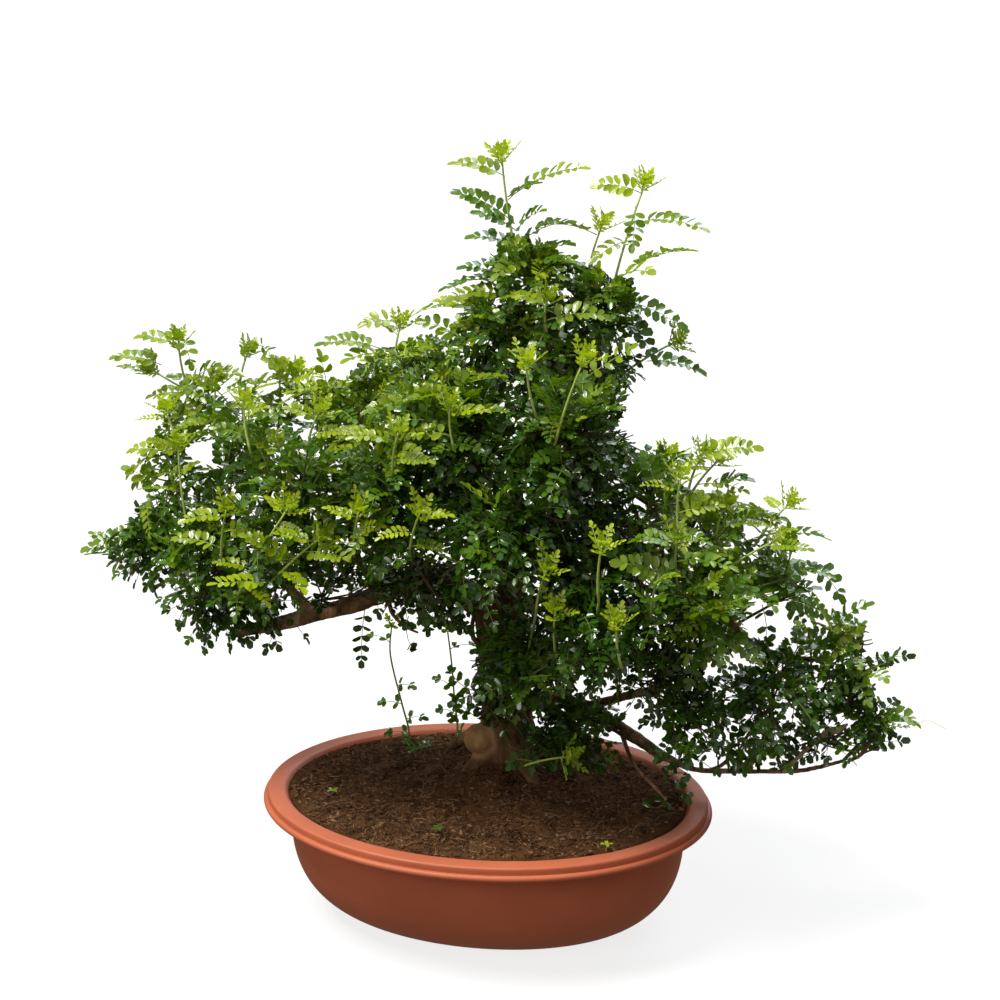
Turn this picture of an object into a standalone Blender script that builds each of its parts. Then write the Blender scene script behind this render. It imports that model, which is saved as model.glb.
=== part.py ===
"""Chinese pepper bonsai in an oval training pot.

Metres, +Z up. The origin is the centre of the pot's flat base. +X runs along the pot's long
axis, to the right of the tree's front, and +Y runs to its back.
"""

import math
import random

import bmesh
import bpy
from mathutils import Matrix, Vector
from mathutils.bvhtree import BVHTree

OBJECT_NAME = "chinese_pepper_bonsai"

# Pot: an oval flange, a bead under its edge, and a body that tucks in under it
RIM_HALF_LENGTH = 0.200
RIM_HALF_WIDTH = 0.152
POT_HEIGHT = 0.115
POT_WALL = 0.004
FLANGE_WIDTH = 0.0165
BEAD_OUT = 0.0035
BEAD_TOP = 0.1085
BEAD_LOW = 0.1030
NECK_INSET = 0.0205
NECK_HEIGHT = 0.1030
BASE_INSET = 0.0776
CORNER_POWER = 3.31
CORNER_ROUND = 1.37
POT_SIDES = 32
BODY_STEPS = (0.0, 0.50, 0.78, 0.93, 1.0)
DRAIN_RADIUS = 0.006
DRAIN_PLACES = ((-0.07, 0.0), (0.07, 0.0), (0.0, -0.04), (0.0, 0.04))

# Soil: it fills the pot up to the flange's inner edge and rises to the trunk
GAP = 0.0003
SOIL_EDGE_HEIGHT = 0.1112
SOIL_EDGE_INSET = 0.0194
SOIL_RINGS = (0.95, 0.78, 0.56, 0.30)
TRUNK_FOOT = Vector((0.012, 0.050, 0.132))
FOOT_MOUND = 0.028
FOOT_MOUND_REACH = 0.050
END_MOUND = 0.009
END_MOUND_PLACE = (0.140, 0.010)
END_MOUND_REACH = 0.050
SOIL_BUMP = 0.0012

# Wood: each limb is a route of (x, y, z, radius) points
TRUNK = (
    (0.012, 0.050, 0.1000, 0.0290),
    (0.012, 0.050, 0.1320, 0.0285),
    (0.009, 0.050, 0.1560, 0.0250),
    (0.006, 0.050, 0.2000, 0.0225),
    (0.003, 0.050, 0.2400, 0.0218),
    (0.000, 0.050, 0.2700, 0.0210),
    (0.004, 0.052, 0.3000, 0.0180),
    (0.012, 0.055, 0.3350, 0.0150),
    (0.024, 0.056, 0.3850, 0.0120),
    (0.036, 0.055, 0.4400, 0.0095),
    (0.044, 0.055, 0.5000, 0.0070),
    (0.045, 0.056, 0.5500, 0.0042),
)
LIMBS = {
    "left": (
        (0.004, 0.050, 0.2560, 0.0135),
        (-0.029, 0.048, 0.2830, 0.0125),
        (-0.056, 0.045, 0.2940, 0.0115),
        (-0.084, 0.042, 0.2890, 0.0100),
        (-0.136, 0.036, 0.2680, 0.0086),
        (-0.164, 0.033, 0.2600, 0.0078),
        (-0.199, 0.030, 0.2480, 0.0068),
        (-0.243, 0.030, 0.2360, 0.0056),
    ),
    "left_inner_branch": (
        (-0.100, 0.040, 0.2840, 0.0050),
        (-0.122, 0.020, 0.3200, 0.0042),
        (-0.120, 0.000, 0.3700, 0.0036),
        (-0.105, 0.005, 0.4150, 0.0028),
    ),
    "left_middle_branch": (
        (-0.168, 0.033, 0.2590, 0.0050),
        (-0.205, 0.034, 0.3000, 0.0042),
        (-0.216, 0.040, 0.3450, 0.0034),
        (-0.205, 0.048, 0.3800, 0.0028),
    ),
    "left_outer_branch": (
        (-0.205, 0.030, 0.2460, 0.0048),
        (-0.250, 0.050, 0.2720, 0.0040),
        (-0.285, 0.065, 0.3100, 0.0033),
        (-0.290, 0.075, 0.3550, 0.0026),
    ),
    "left_back_branch": (
        (-0.060, 0.045, 0.2930, 0.0056),
        (-0.095, 0.085, 0.3120, 0.0048),
        (-0.145, 0.115, 0.3400, 0.0040),
        (-0.205, 0.125, 0.3600, 0.0030),
    ),
    "left_front_branch": (
        (-0.040, 0.047, 0.2880, 0.0050),
        (-0.050, 0.005, 0.3080, 0.0040),
        (-0.048, -0.020, 0.3350, 0.0030),
    ),
    "left_under_twig": (
        (-0.098, 0.040, 0.2820, 0.0022),
        (-0.094, 0.030, 0.2680, 0.0019),
        (-0.080, 0.022, 0.2580, 0.0014),
        (-0.066, 0.018, 0.2540, 0.0010),
    ),
    "right_low": (
        (0.010, 0.050, 0.1800, 0.0090),
        (0.040, 0.048, 0.1870, 0.0080),
        (0.072, 0.045, 0.1870, 0.0075),
        (0.103, 0.042, 0.1740, 0.0068),
        (0.131, 0.038, 0.1606, 0.0060),
        (0.152, 0.036, 0.1490, 0.0044),
        (0.182, 0.036, 0.1370, 0.0030),
        (0.216, 0.038, 0.1375, 0.0027),
        (0.250, 0.042, 0.1385, 0.0025),
        (0.280, 0.045, 0.1415, 0.0023),
        (0.316, 0.048, 0.1530, 0.0020),
    ),
    "right_middle": (
        (0.083, 0.044, 0.1850, 0.0048),
        (0.118, 0.040, 0.2000, 0.0043),
        (0.150, 0.034, 0.2150, 0.0038),
        (0.170, 0.044, 0.2450, 0.0032),
        (0.200, 0.052, 0.2560, 0.0024),
    ),
    "right_dead_twig": (
        (0.117, 0.037, 0.1650, 0.0026),
        (0.125, 0.024, 0.1530, 0.0018),
        (0.137, 0.010, 0.1420, 0.0015),
        (0.152, -0.002, 0.1340, 0.0013),
        (0.165, -0.012, 0.1270, 0.0010),
    ),
    "right_upper": (
        (0.006, 0.052, 0.3080, 0.0100),
        (0.062, 0.050, 0.3300, 0.0085),
        (0.116, 0.046, 0.3400, 0.0072),
        (0.165, 0.046, 0.3200, 0.0060),
        (0.200, 0.048, 0.2850, 0.0048),
        (0.230, 0.054, 0.2520, 0.0038),
        (0.270, 0.062, 0.2400, 0.0030),
        (0.300, 0.062, 0.2440, 0.0024),
    ),
    "back_middle": (
        (0.006, 0.054, 0.2950, 0.0075),
        (0.018, 0.095, 0.3250, 0.0060),
        (0.040, 0.130, 0.3600, 0.0048),
        (0.046, 0.145, 0.4000, 0.0034),
    ),
    "back_right": (
        (0.014, 0.055, 0.3400, 0.0070),
        (0.070, 0.100, 0.3450, 0.0058),
        (0.120, 0.115, 0.3350, 0.0048),
        (0.185, 0.120, 0.3050, 0.0038),
        (0.240, 0.118, 0.2700, 0.0028),
    ),
    "back_left": (
        (0.000, 0.052, 0.2800, 0.0070),
        (-0.020, 0.095, 0.3050, 0.0056),
        (-0.045, 0.125, 0.3450, 0.0044),
        (-0.055, 0.135, 0.3900, 0.0032),
    ),
    "front_upper": (
        (0.014, 0.055, 0.3420, 0.0070),
        (0.026, 0.015, 0.3700, 0.0056),
        (0.032, -0.015, 0.4000, 0.0042),
        (0.030, -0.020, 0.4300, 0.0030),
    ),
    "front_lower": (
        (0.004, 0.050, 0.2600, 0.0062),
        (0.040, 0.010, 0.2950, 0.0048),
        (0.075, -0.020, 0.3150, 0.0036),
        (0.110, -0.025, 0.3300, 0.0026),
    ),
    "apex_side": (
        (0.042, 0.055, 0.4900, 0.0042),
        (0.062, 0.060, 0.5150, 0.0034),
        (0.086, 0.072, 0.5350, 0.0024),
    ),
    "trunk_sucker_stub": (
        (0.000, 0.046, 0.2300, 0.0030),
        (-0.018, 0.030, 0.2480, 0.0024),
        (-0.016, 0.024, 0.2750, 0.0016),
    ),
}
ROOTS = (
    ((0.000, 0.036, 0.142, 0.0110), (-0.022, 0.020, 0.121, 0.0065), (-0.040, 0.006, 0.104, 0.0032)),
    ((0.022, 0.034, 0.140, 0.0110), (0.038, 0.016, 0.122, 0.0070), (0.054, 0.000, 0.104, 0.0036)),
    ((0.034, 0.056, 0.144, 0.0110), (0.058, 0.062, 0.134, 0.0070), (0.080, 0.068, 0.114, 0.0032)),
    ((-0.008, 0.064, 0.144, 0.0110), (-0.032, 0.074, 0.134, 0.0070), (-0.054, 0.084, 0.114, 0.0034)),
)
BURL_PLACE = Vector((-0.013, 0.032, 0.150))
BURL_RADIUS = 0.0145
BARK_RIDGE = 0.0011
BARK_RIDGES = 5
BARK_TWIST = 60
BARK_START = 0.160
THICK_LIMB = 0.0085
THIN_TWIG = 0.0035

# Sprays: name, place of the middle, radius, number of leaves, and the furthest tips
SPRAYS = (
    ("left_spray_1", (-0.312, 0.055, 0.400), 0.052, 1, ((-0.303, 0.070, 0.508), (-0.352, 0.050, 0.482))),
    ("left_spray_2", (-0.325, 0.035, 0.312), 0.048, 2, ((-0.394, 0.040, 0.302),)),
    ("left_spray_3", (-0.240, -0.020, 0.318), 0.055, 3, ()),
    ("left_spray_4", (-0.222, 0.020, 0.430), 0.058, 1, ((-0.228, 0.060, 0.500),)),
    ("left_spray_5", (-0.158, -0.045, 0.352), 0.056, 2, ()),
    ("left_spray_6", (-0.125, 0.040, 0.462), 0.058, 1, ((-0.092, 0.070, 0.540),)),
    ("left_spray_7", (-0.072, -0.060, 0.385), 0.056, 2, ()),
    ("left_spray_8", (-0.150, 0.000, 0.285), 0.030, 0, ((-0.116, 0.000, 0.215),)),
    ("middle_spray_1", (-0.030, -0.020, 0.455), 0.056, 2, ()),
    ("middle_spray_2", (0.000, 0.040, 0.520), 0.052, 2, ()),
    ("middle_spray_3", (0.078, -0.040, 0.455), 0.060, 2, ()),
    ("middle_spray_4", (0.030, -0.080, 0.370), 0.056, 3, ()),
    ("apex_spray_1", (0.022, 0.062, 0.585), 0.046, 1, ((-0.004, 0.080, 0.690), (-0.030, 0.060, 0.620))),
    ("apex_spray_2", (0.096, 0.050, 0.555), 0.050, 1, ((0.127, 0.080, 0.664), (0.163, 0.080, 0.523))),
    ("right_spray_1", (0.150, -0.020, 0.395), 0.054, 3, ()),
    ("right_spray_2", (0.212, 0.040, 0.375), 0.050, 1, ((0.219, 0.070, 0.436), (0.264, 0.060, 0.400))),
    ("right_spray_3", (0.195, -0.040, 0.310), 0.054, 2, ()),
    ("right_spray_4", (0.272, 0.030, 0.318), 0.046, 2, ()),
    ("low_right_spray_1", (0.325, 0.060, 0.262), 0.048, 1, ((0.368, 0.060, 0.251),)),
    ("low_right_spray_2", (0.252, 0.010, 0.218), 0.052, 2, ()),
    ("low_right_spray_3", (0.345, 0.050, 0.195), 0.040, 1, ((0.390, 0.010, 0.209),)),
    ("low_right_spray_4", (0.185, 0.000, 0.195), 0.044, 2, ()),
    ("skirt_spray_1", (0.110, -0.080, 0.300), 0.050, 2, ()),
    ("skirt_spray_2", (0.042, -0.030, 0.250), 0.044, 2, ()),
    ("skirt_spray_3", (0.078, 0.010, 0.172), 0.036, 2, ()),
    ("back_spray_1", (-0.275, 0.140, 0.360), 0.054, 2, ()),
    ("back_spray_2", (-0.175, 0.170, 0.400), 0.056, 2, ()),
    ("back_spray_3", (-0.080, 0.150, 0.440), 0.056, 2, ()),
    ("back_spray_4", (0.020, 0.150, 0.460), 0.058, 2, ()),
    ("back_spray_5", (0.095, 0.165, 0.400), 0.056, 2, ()),
    ("back_spray_6", (0.165, 0.155, 0.335), 0.054, 2, ()),
    ("back_spray_7", (0.255, 0.150, 0.275), 0.052, 2, ()),
    ("back_spray_8", (0.030, 0.185, 0.330), 0.052, 2, ()),
    ("back_spray_9", (-0.065, 0.180, 0.340), 0.052, 2, ()),
)
CANOPY_MIDDLE = Vector((0.010, 0.055, 0.360))
CORE_SHARES = (0.84, 0.80, 0.75, 0.70, 0.65, 0.60, 0.55, 0.50, 0.45, 0.40)
CORE_HOLLOWS = (0.48, 0.58)
CORE_TUFTS = (0.66, 1.12)
TUFT_SPREAD = 0.24
CORE_FLATTENING = 0.88
STEM_GAP = 0.0003
STEM_RADIUS = 0.0016
SHOOT_RADIUS = 0.0012
SHOOT_BOW = 0.003
SHORTEST_SHOOT = 0.012
SIDE_LEAF_SPARE = 0.030

# Compound leaves: pairs of leaflets and an end leaflet in one thin arched blade
LEAF_LENGTH = 0.050
LEAFLET_LENGTH = 0.0118
LEAFLET_MOST_SHARE = 0.30
LEAFLET_WIDTH_SHARE = 0.86
LEAF_PAIRS = 3
BLADE_THICKNESS = 0.0008
RIB_HALF_WIDTH = 0.0009
FIRST_NOTCH = 0.24
LAST_NOTCH = 0.86
LEAFLET_SWEEP = math.radians(68)
LEAFLET_LIFT = 0.16
LEAF_ROOT = 0.34
LEAST_LEAF_ANGLE = math.radians(48)
LEAF_TRIES = 6
MOST_CORE_CUTS = 14
CLEARANCE = 0.0008
SEED = 47

# Suckers: thin shoots from the soil, as (x, y, z) routes, with a radius
SUCKERS = {
    "sucker_left": (
        (-0.094, 0.094, 0.098),
        (-0.096, 0.092, 0.128),
        (-0.100, 0.085, 0.155),
        (-0.108, 0.076, 0.206),
        (-0.105, 0.070, 0.236),
    ),
    "sucker_near_trunk": (
        (-0.050, 0.100, 0.100),
        (-0.049, 0.095, 0.135),
        (-0.049, 0.085, 0.162),
        (-0.048, 0.070, 0.206),
        (-0.049, 0.060, 0.240),
    ),
}
SUCKER_RADIUS = 0.0013
SUCKER_LEAF = 0.029
SUCKER_LEAF_HEIGHTS = (0.62, 0.82, 1.0)
GOLDEN_ANGLE = math.radians(137.5)


def clear_scene():
    for obj in list(bpy.context.scene.objects):
        bpy.data.objects.remove(obj, do_unlink=True)


def new_collection(name):
    collection = bpy.data.collections.new(name)
    bpy.context.scene.collection.children.link(collection)
    return collection


def material(name, colour, roughness):
    made = bpy.data.materials.new(name)
    made.use_nodes = True
    shader = made.node_tree.nodes["Principled BSDF"]
    shader.inputs["Base Color"].default_value = (*colour, 1.0)
    shader.inputs["Roughness"].default_value = roughness
    shader.inputs["Metallic"].default_value = 0.0
    return made


def object_from_bmesh(name, bm, collection):
    mesh = bpy.data.meshes.new(name)
    bm.to_mesh(mesh)
    bm.free()
    obj = bpy.data.objects.new(name, mesh)
    collection.objects.link(obj)
    return obj


def mesh_of(obj):
    """The object's mesh with its modifiers applied, as a new mesh."""
    bpy.context.view_layer.update()
    graph = bpy.context.evaluated_depsgraph_get()
    return bpy.data.meshes.new_from_object(obj.evaluated_get(graph))


def remove_object(obj):
    bpy.data.objects.remove(obj, do_unlink=True)


def boolean(obj, operation, operand=None, operands=None, solver="EXACT"):
    """Applies one Boolean to the object, with another object or a collection."""
    modifier = obj.modifiers.new("cut", "BOOLEAN")
    modifier.operation = operation
    modifier.solver = solver
    if operands is None:
        modifier.object = operand
    else:
        modifier.operand_type = "COLLECTION"
        modifier.collection = operands
    result = mesh_of(obj)
    obj.modifiers.clear()
    old = obj.data
    obj.data = result
    bpy.data.meshes.remove(old)


def is_closed(mesh):
    bm = bmesh.new()
    bm.from_mesh(mesh)
    closed = len(bm.faces) > 0 and all(edge.is_manifold for edge in bm.edges)
    bm.free()
    return closed


def fuse(name, pieces, collection):
    """One object from overlapping pieces, by a Boolean union on their collection."""
    first = pieces[0]
    rest = new_collection(name + "_pieces")
    for piece in pieces[1:]:
        collection.objects.unlink(piece)
        rest.objects.link(piece)
    kept = first.data.copy()
    boolean(first, "UNION", operands=rest)
    if not is_closed(first.data):
        first.data = kept
        boolean(first, "UNION", operands=rest, solver="MANIFOLD")
    for piece in list(rest.objects):
        remove_object(piece)
    bpy.data.collections.remove(rest)
    first.name = name
    return first


def smooth_route(points, steps):
    """Catmull-Rom points through the route, each with its radius as a fourth number."""
    ends = [points[0]] + list(points) + [points[-1]]
    route = []
    for a, b, c, d in zip(ends, ends[1:], ends[2:], ends[3:]):
        for step in range(steps):
            t = step / steps
            route.append(tuple(
                0.5 * (2 * q + (r - p) * t + (2 * p - 5 * q + 4 * r - s) * t * t
                       + (3 * q - p - 3 * r + s) * t ** 3)
                for p, q, r, s in zip(a, b, c, d)
            ))
    route.append(tuple(points[-1]))
    return route


def tube(name, route, resolution, collection, extra=0.0):
    """A capped tube along (x, y, z, radius) points, as a mesh object."""
    curve = bpy.data.curves.new(name, "CURVE")
    curve.dimensions = "3D"
    curve.bevel_depth = 1.0
    curve.bevel_resolution = resolution
    curve.use_fill_caps = True
    spline = curve.splines.new("POLY")
    spline.points.add(len(route) - 1)
    for point, (x, y, z, radius) in zip(spline.points, route):
        point.co = (x, y, z, 1.0)
        point.radius = radius + extra
    holder = bpy.data.objects.new(name, curve)
    collection.objects.link(holder)
    mesh = mesh_of(holder)
    remove_object(holder)
    bm = bmesh.new()
    bm.from_mesh(mesh)
    bmesh.ops.remove_doubles(bm, verts=bm.verts, dist=1e-6)
    bmesh.ops.recalc_face_normals(bm, faces=bm.faces)
    bpy.data.meshes.remove(mesh)
    return object_from_bmesh(name, bm, collection)


def oval_ring(bm, inset, height, share=1.0):
    """One ring of vertices, moved in from the rim's edge by the inset."""
    ring = []
    for side in range(POT_SIDES):
        angle = 2 * math.pi * side / POT_SIDES
        x = share * (RIM_HALF_LENGTH - inset) * math.cos(angle)
        y = share * (RIM_HALF_WIDTH - inset) * math.sin(angle)
        z = height(x, y) if callable(height) else height
        ring.append(bm.verts.new((x, y, z)))
    return ring


def loft(bm, rings):
    for low, high in zip(rings, rings[1:]):
        for side in range(POT_SIDES):
            after = (side + 1) % POT_SIDES
            bm.faces.new((low[side], low[after], high[after], high[side]))


def body_inset(step):
    """The body's inset at a step from the neck, 0, to the base, 1."""
    drop = (1 - step ** CORNER_POWER) ** (1 / CORNER_ROUND)
    return BASE_INSET + (NECK_INSET - BASE_INSET) * drop


def inner_profile(gap=0.0):
    """Inset and height points down the pot's inner wall, or down the soil inside it."""
    floor = POT_WALL + gap
    return [
        (body_inset(step) + POT_WALL + gap, floor + (NECK_HEIGHT - floor) * (1 - step))
        for step in BODY_STEPS
    ]


def make_pot(collection, cutters):
    outer = [(body_inset(step), NECK_HEIGHT * (1 - step)) for step in BODY_STEPS]
    rim = [
        (0.0, BEAD_LOW - 0.0008),
        (-BEAD_OUT, BEAD_LOW + 0.0016),
        (-BEAD_OUT, BEAD_TOP - 0.0016),
        (0.0, BEAD_TOP),
        (0.0, POT_HEIGHT - 0.0008),
        (0.0010, POT_HEIGHT),
        (FLANGE_WIDTH, POT_HEIGHT),
    ]
    bm = bmesh.new()
    profile = outer[::-1] + rim + inner_profile()
    rings = [oval_ring(bm, inset, height) for inset, height in profile]
    loft(bm, rings)
    bm.faces.new(rings[0][::-1])
    bm.faces.new(rings[-1])
    bmesh.ops.recalc_face_normals(bm, faces=bm.faces)
    pot = object_from_bmesh("pot", bm, collection)
    for x, y in DRAIN_PLACES:
        bm = bmesh.new()
        bmesh.ops.create_cone(
            bm, cap_ends=True, segments=8, radius1=DRAIN_RADIUS, radius2=DRAIN_RADIUS,
            depth=4 * POT_WALL,
        )
        bmesh.ops.translate(bm, verts=bm.verts, vec=(x, y, 0.5 * POT_WALL))
        drain = object_from_bmesh("drain_cutter", bm, cutters)
        boolean(pot, "DIFFERENCE", drain)
        remove_object(drain)
    return pot


def soil_height(x, y):
    foot = math.hypot(x - TRUNK_FOOT.x, y - TRUNK_FOOT.y) / FOOT_MOUND_REACH
    end = math.hypot(x - END_MOUND_PLACE[0], y - END_MOUND_PLACE[1]) / END_MOUND_REACH
    bumps = math.sin(61 * x + 1.3) * math.cos(83 * y + 0.4) + math.sin(137 * x - 113 * y)
    return (
        SOIL_EDGE_HEIGHT
        + FOOT_MOUND * math.exp(-foot * foot)
        + END_MOUND * math.exp(-end * end)
        + SOIL_BUMP * bumps
    )


def make_soil(collection):
    bm = bmesh.new()
    side = inner_profile(GAP)[::-1]
    top_inset = side[-1][0]
    rings = [oval_ring(bm, inset, height) for inset, height in side]
    rings.append(oval_ring(bm, SOIL_EDGE_INSET, SOIL_EDGE_HEIGHT))
    rings += [oval_ring(bm, top_inset, soil_height, share) for share in SOIL_RINGS]
    loft(bm, rings)
    bm.faces.new(rings[0][::-1])
    middle = bm.verts.new((0.0, 0.0, soil_height(0.0, 0.0)))
    last = rings[-1]
    for index in range(POT_SIDES):
        bm.faces.new((last[index], last[(index + 1) % POT_SIDES], middle))
    bmesh.ops.recalc_face_normals(bm, faces=bm.faces)
    return object_from_bmesh("soil", bm, collection)


def ridge_bark(obj, route):
    """Raises the trunk's bark in ridges that wind slowly up it."""
    axis = [Vector(point[:3]) for point in route]
    for vertex in obj.data.vertices:
        nearest = min(axis, key=lambda point: (point - vertex.co).length_squared)
        out = vertex.co - nearest
        if out.length < 1e-6 or vertex.co.z < BARK_START:
            continue
        angle = math.atan2(out.y, out.x) * BARK_RIDGES + vertex.co.z * BARK_TWIST
        vertex.co += out.normalized() * BARK_RIDGE * math.sin(angle)


def make_wood(collection):
    trunk = tube("trunk_and_limbs", TRUNK, 4, collection)
    ridge_bark(trunk, TRUNK)
    pieces = [trunk]
    for name, points in LIMBS.items():
        first_radius = points[0][3]
        resolution = 2 if first_radius > THICK_LIMB else 1 if first_radius > THIN_TWIG else 0
        pieces.append(tube(name, points, resolution, collection))
    for index, points in enumerate(ROOTS):
        pieces.append(tube(f"root_{index}", smooth_route(points, 2), 1, collection))
    bm = bmesh.new()
    bmesh.ops.create_icosphere(bm, subdivisions=2, radius=BURL_RADIUS)
    bmesh.ops.translate(bm, verts=bm.verts, vec=BURL_PLACE)
    pieces.append(object_from_bmesh("burl", bm, collection))
    return fuse("trunk_and_limbs", pieces, collection)


def cut_soil_for_wood(soil, cutters):
    """Plain holes for the foot and the roots, a small gap wider than they are."""
    foot = [TRUNK[0], TRUNK[1], TRUNK[2]]
    below = (foot[0][0], foot[0][1], foot[0][2] - GAP, foot[0][3])
    holes = [tube("foot_hole", [below, *foot[1:]], 4, cutters, extra=GAP)]
    for points in ROOTS:
        route = smooth_route(points, 2)
        last = Vector(route[-1][:3])
        onward = (last - Vector(route[-2][:3])).normalized() * GAP
        route[-1] = (*(last + onward), route[-1][3])
        holes.append(tube("root_hole", route, 1, cutters, extra=GAP))
    bm = bmesh.new()
    bmesh.ops.create_icosphere(bm, subdivisions=2, radius=BURL_RADIUS + 2 * GAP)
    bmesh.ops.translate(bm, verts=bm.verts, vec=BURL_PLACE)
    holes.append(object_from_bmesh("burl_hole", bm, cutters))
    for hole in holes:
        boolean(soil, "DIFFERENCE", hole)
        remove_object(hole)


class Neighbours:
    """What is already in place, so that a new leaf can be bent clear of it."""

    def __init__(self):
        self.trees = []

    def add(self, obj):
        self.trees.append(self.tree_of(obj))
        return self.trees[-1]

    def without(self, row):
        others = Neighbours()
        others.trees = [tree for tree in self.trees if tree is not row]
        return others

    @staticmethod
    def tree_of(obj):
        points = [vertex.co.copy() for vertex in obj.data.vertices]
        faces = [tuple(face.vertices) for face in obj.data.polygons]
        low = Vector([min(point[axis] for point in points) for axis in range(3)])
        high = Vector([max(point[axis] for point in points) for axis in range(3)])
        return BVHTree.FromPolygons(points, faces), low, high, points

    def crossed_by(self, obj):
        tree, low, high, points = self.tree_of(obj)
        for other, other_low, other_high, _ in self.trees:
            apart = any(
                low[axis] > other_high[axis] + CLEARANCE or high[axis] < other_low[axis] - CLEARANCE
                for axis in range(3)
            )
            if apart:
                continue
            if tree.overlap(other):
                return True
            if any(other.find_nearest(point, CLEARANCE)[0] is not None for point in points):
                return True
        return False


def bezier(root, bend, tip, t):
    place = root * (1 - t) ** 2 + bend * 2 * t * (1 - t) + tip * t * t
    along = (bend - root) * (1 - t) + (tip - bend) * t
    return place, along.normalized()


def leaf_outline(length, pairs):
    """One side of a leaf as (along, across, lift) points, and where each leaflet starts."""
    pitch = length * (LAST_NOTCH - FIRST_NOTCH) / pairs
    size = min(LEAFLET_LENGTH, LEAFLET_MOST_SHARE * length)
    half_width = 0.5 * pitch * LEAFLET_WIDTH_SHARE
    outline = [(0.0, RIB_HALF_WIDTH, 0.0)]
    starts = []
    for pair in range(pairs):
        notch = length * FIRST_NOTCH + pitch * pair
        middle = notch + 0.5 * pitch
        swell = size * (0.86 + 0.14 * math.sin(math.pi * (pair + 0.5) / pairs))
        forward = swell * math.cos(LEAFLET_SWEEP)
        out = swell * math.sin(LEAFLET_SWEEP)
        lift = LEAFLET_LIFT * swell
        starts.append(len(outline))
        outline += [
            (notch, RIB_HALF_WIDTH, 0.0),
            (middle + 0.50 * forward - half_width, RIB_HALF_WIDTH + 0.55 * out, 0.6 * lift),
            (middle + forward, RIB_HALF_WIDTH + out, lift),
            (middle + 0.62 * forward + half_width, RIB_HALF_WIDTH + 0.62 * out, 0.6 * lift),
        ]
    outline.append((length * LAST_NOTCH, RIB_HALF_WIDTH, 0.0))
    outline.append((length * LAST_NOTCH + 0.55 * size, 0.30 * size, 0.0))
    end = (length * LAST_NOTCH + size, 0.0, 0.0)
    return outline, starts, end


def leaf_triangles(count, starts):
    """Triangles over both sides of the leaf: the right side's points, the left's, the end."""
    triangles = []

    def both(a, b, c):
        triangles.append((a, b, c))
        triangles.append((count + a, count + c, count + b))

    def rib(a, b):
        triangles.append((a, b, count + b))
        triangles.append((a, count + b, count + a))

    rib(0, starts[0])
    for start in starts:
        both(start, start + 1, start + 3)
        both(start + 1, start + 2, start + 3)
        both(start, start + 3, start + 4)
        rib(start, start + 4)
    rib(count - 2, count - 1)
    triangles.append((count - 1, 2 * count, 2 * count - 1))
    return triangles


def leaf(name, root, bend, tip, pairs, collection):
    """A compound leaf as one arched blade, its outline cut to the rib between leaflets."""
    across = (bend - root).cross(tip - root).normalized()
    length = (tip - root).length
    outline, starts, end = leaf_outline(length, pairs)
    points = outline + [(u, -v, w) for u, v, w in outline] + [end]
    bm = bmesh.new()
    layers = []
    for side in (0.5, -0.5):
        layer = []
        for u, v, w in points:
            middle, along = bezier(root, bend, tip, min(u / length, 1.0))
            beyond = along * max(u - length, 0.0)
            lift = across.cross(along) * (w + side * BLADE_THICKNESS)
            layer.append(bm.verts.new(middle + beyond + across * v + lift))
        layers.append(layer)
    top, under = layers
    triangles = leaf_triangles(len(outline), starts)
    edges = {edge for a, b, c in triangles for edge in ((a, b), (b, c), (c, a))}
    for a, b, c in triangles:
        bm.faces.new((top[a], top[b], top[c]))
        bm.faces.new((under[a], under[c], under[b]))
    for a, b in sorted(edges):
        if (b, a) not in edges:
            bm.faces.new((top[a], under[a], top[b]))
            bm.faces.new((top[b], under[a], under[b]))
    bmesh.ops.recalc_face_normals(bm, faces=bm.faces)
    return object_from_bmesh(name, bm, collection)


def core_mesh(name, middle, radius, draw, collection):
    """The packed inner leaves of a spray: a body of pointed tufts with hollows between them.

    It comes with the directions of its hollows, which the leaves grow out of.
    """
    bm = bmesh.new()
    bmesh.ops.create_icosphere(bm, subdivisions=1, radius=1.0)
    hollows = set(bm.verts)
    bmesh.ops.poke(bm, faces=bm.faces)
    turn = Matrix.Rotation(draw.uniform(0, 2 * math.pi), 3, "Z")
    turn = turn @ Matrix.Rotation(draw.uniform(0, math.pi), 3, "X")
    ways = []
    for vertex in bm.verts:
        is_hollow = vertex in hollows
        way = vertex.co.normalized()
        if not is_hollow:
            way += Vector([draw.uniform(-TUFT_SPREAD, TUFT_SPREAD) for _ in range(3)])
        way = turn @ way.normalized()
        way.z *= CORE_FLATTENING
        reach = draw.uniform(*(CORE_HOLLOWS if is_hollow else CORE_TUFTS))
        vertex.co = middle + way * radius * reach
        if is_hollow:
            ways.append(way.normalized())
    bmesh.ops.recalc_face_normals(bm, faces=bm.faces)
    return object_from_bmesh(name, bm, collection), ways


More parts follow.
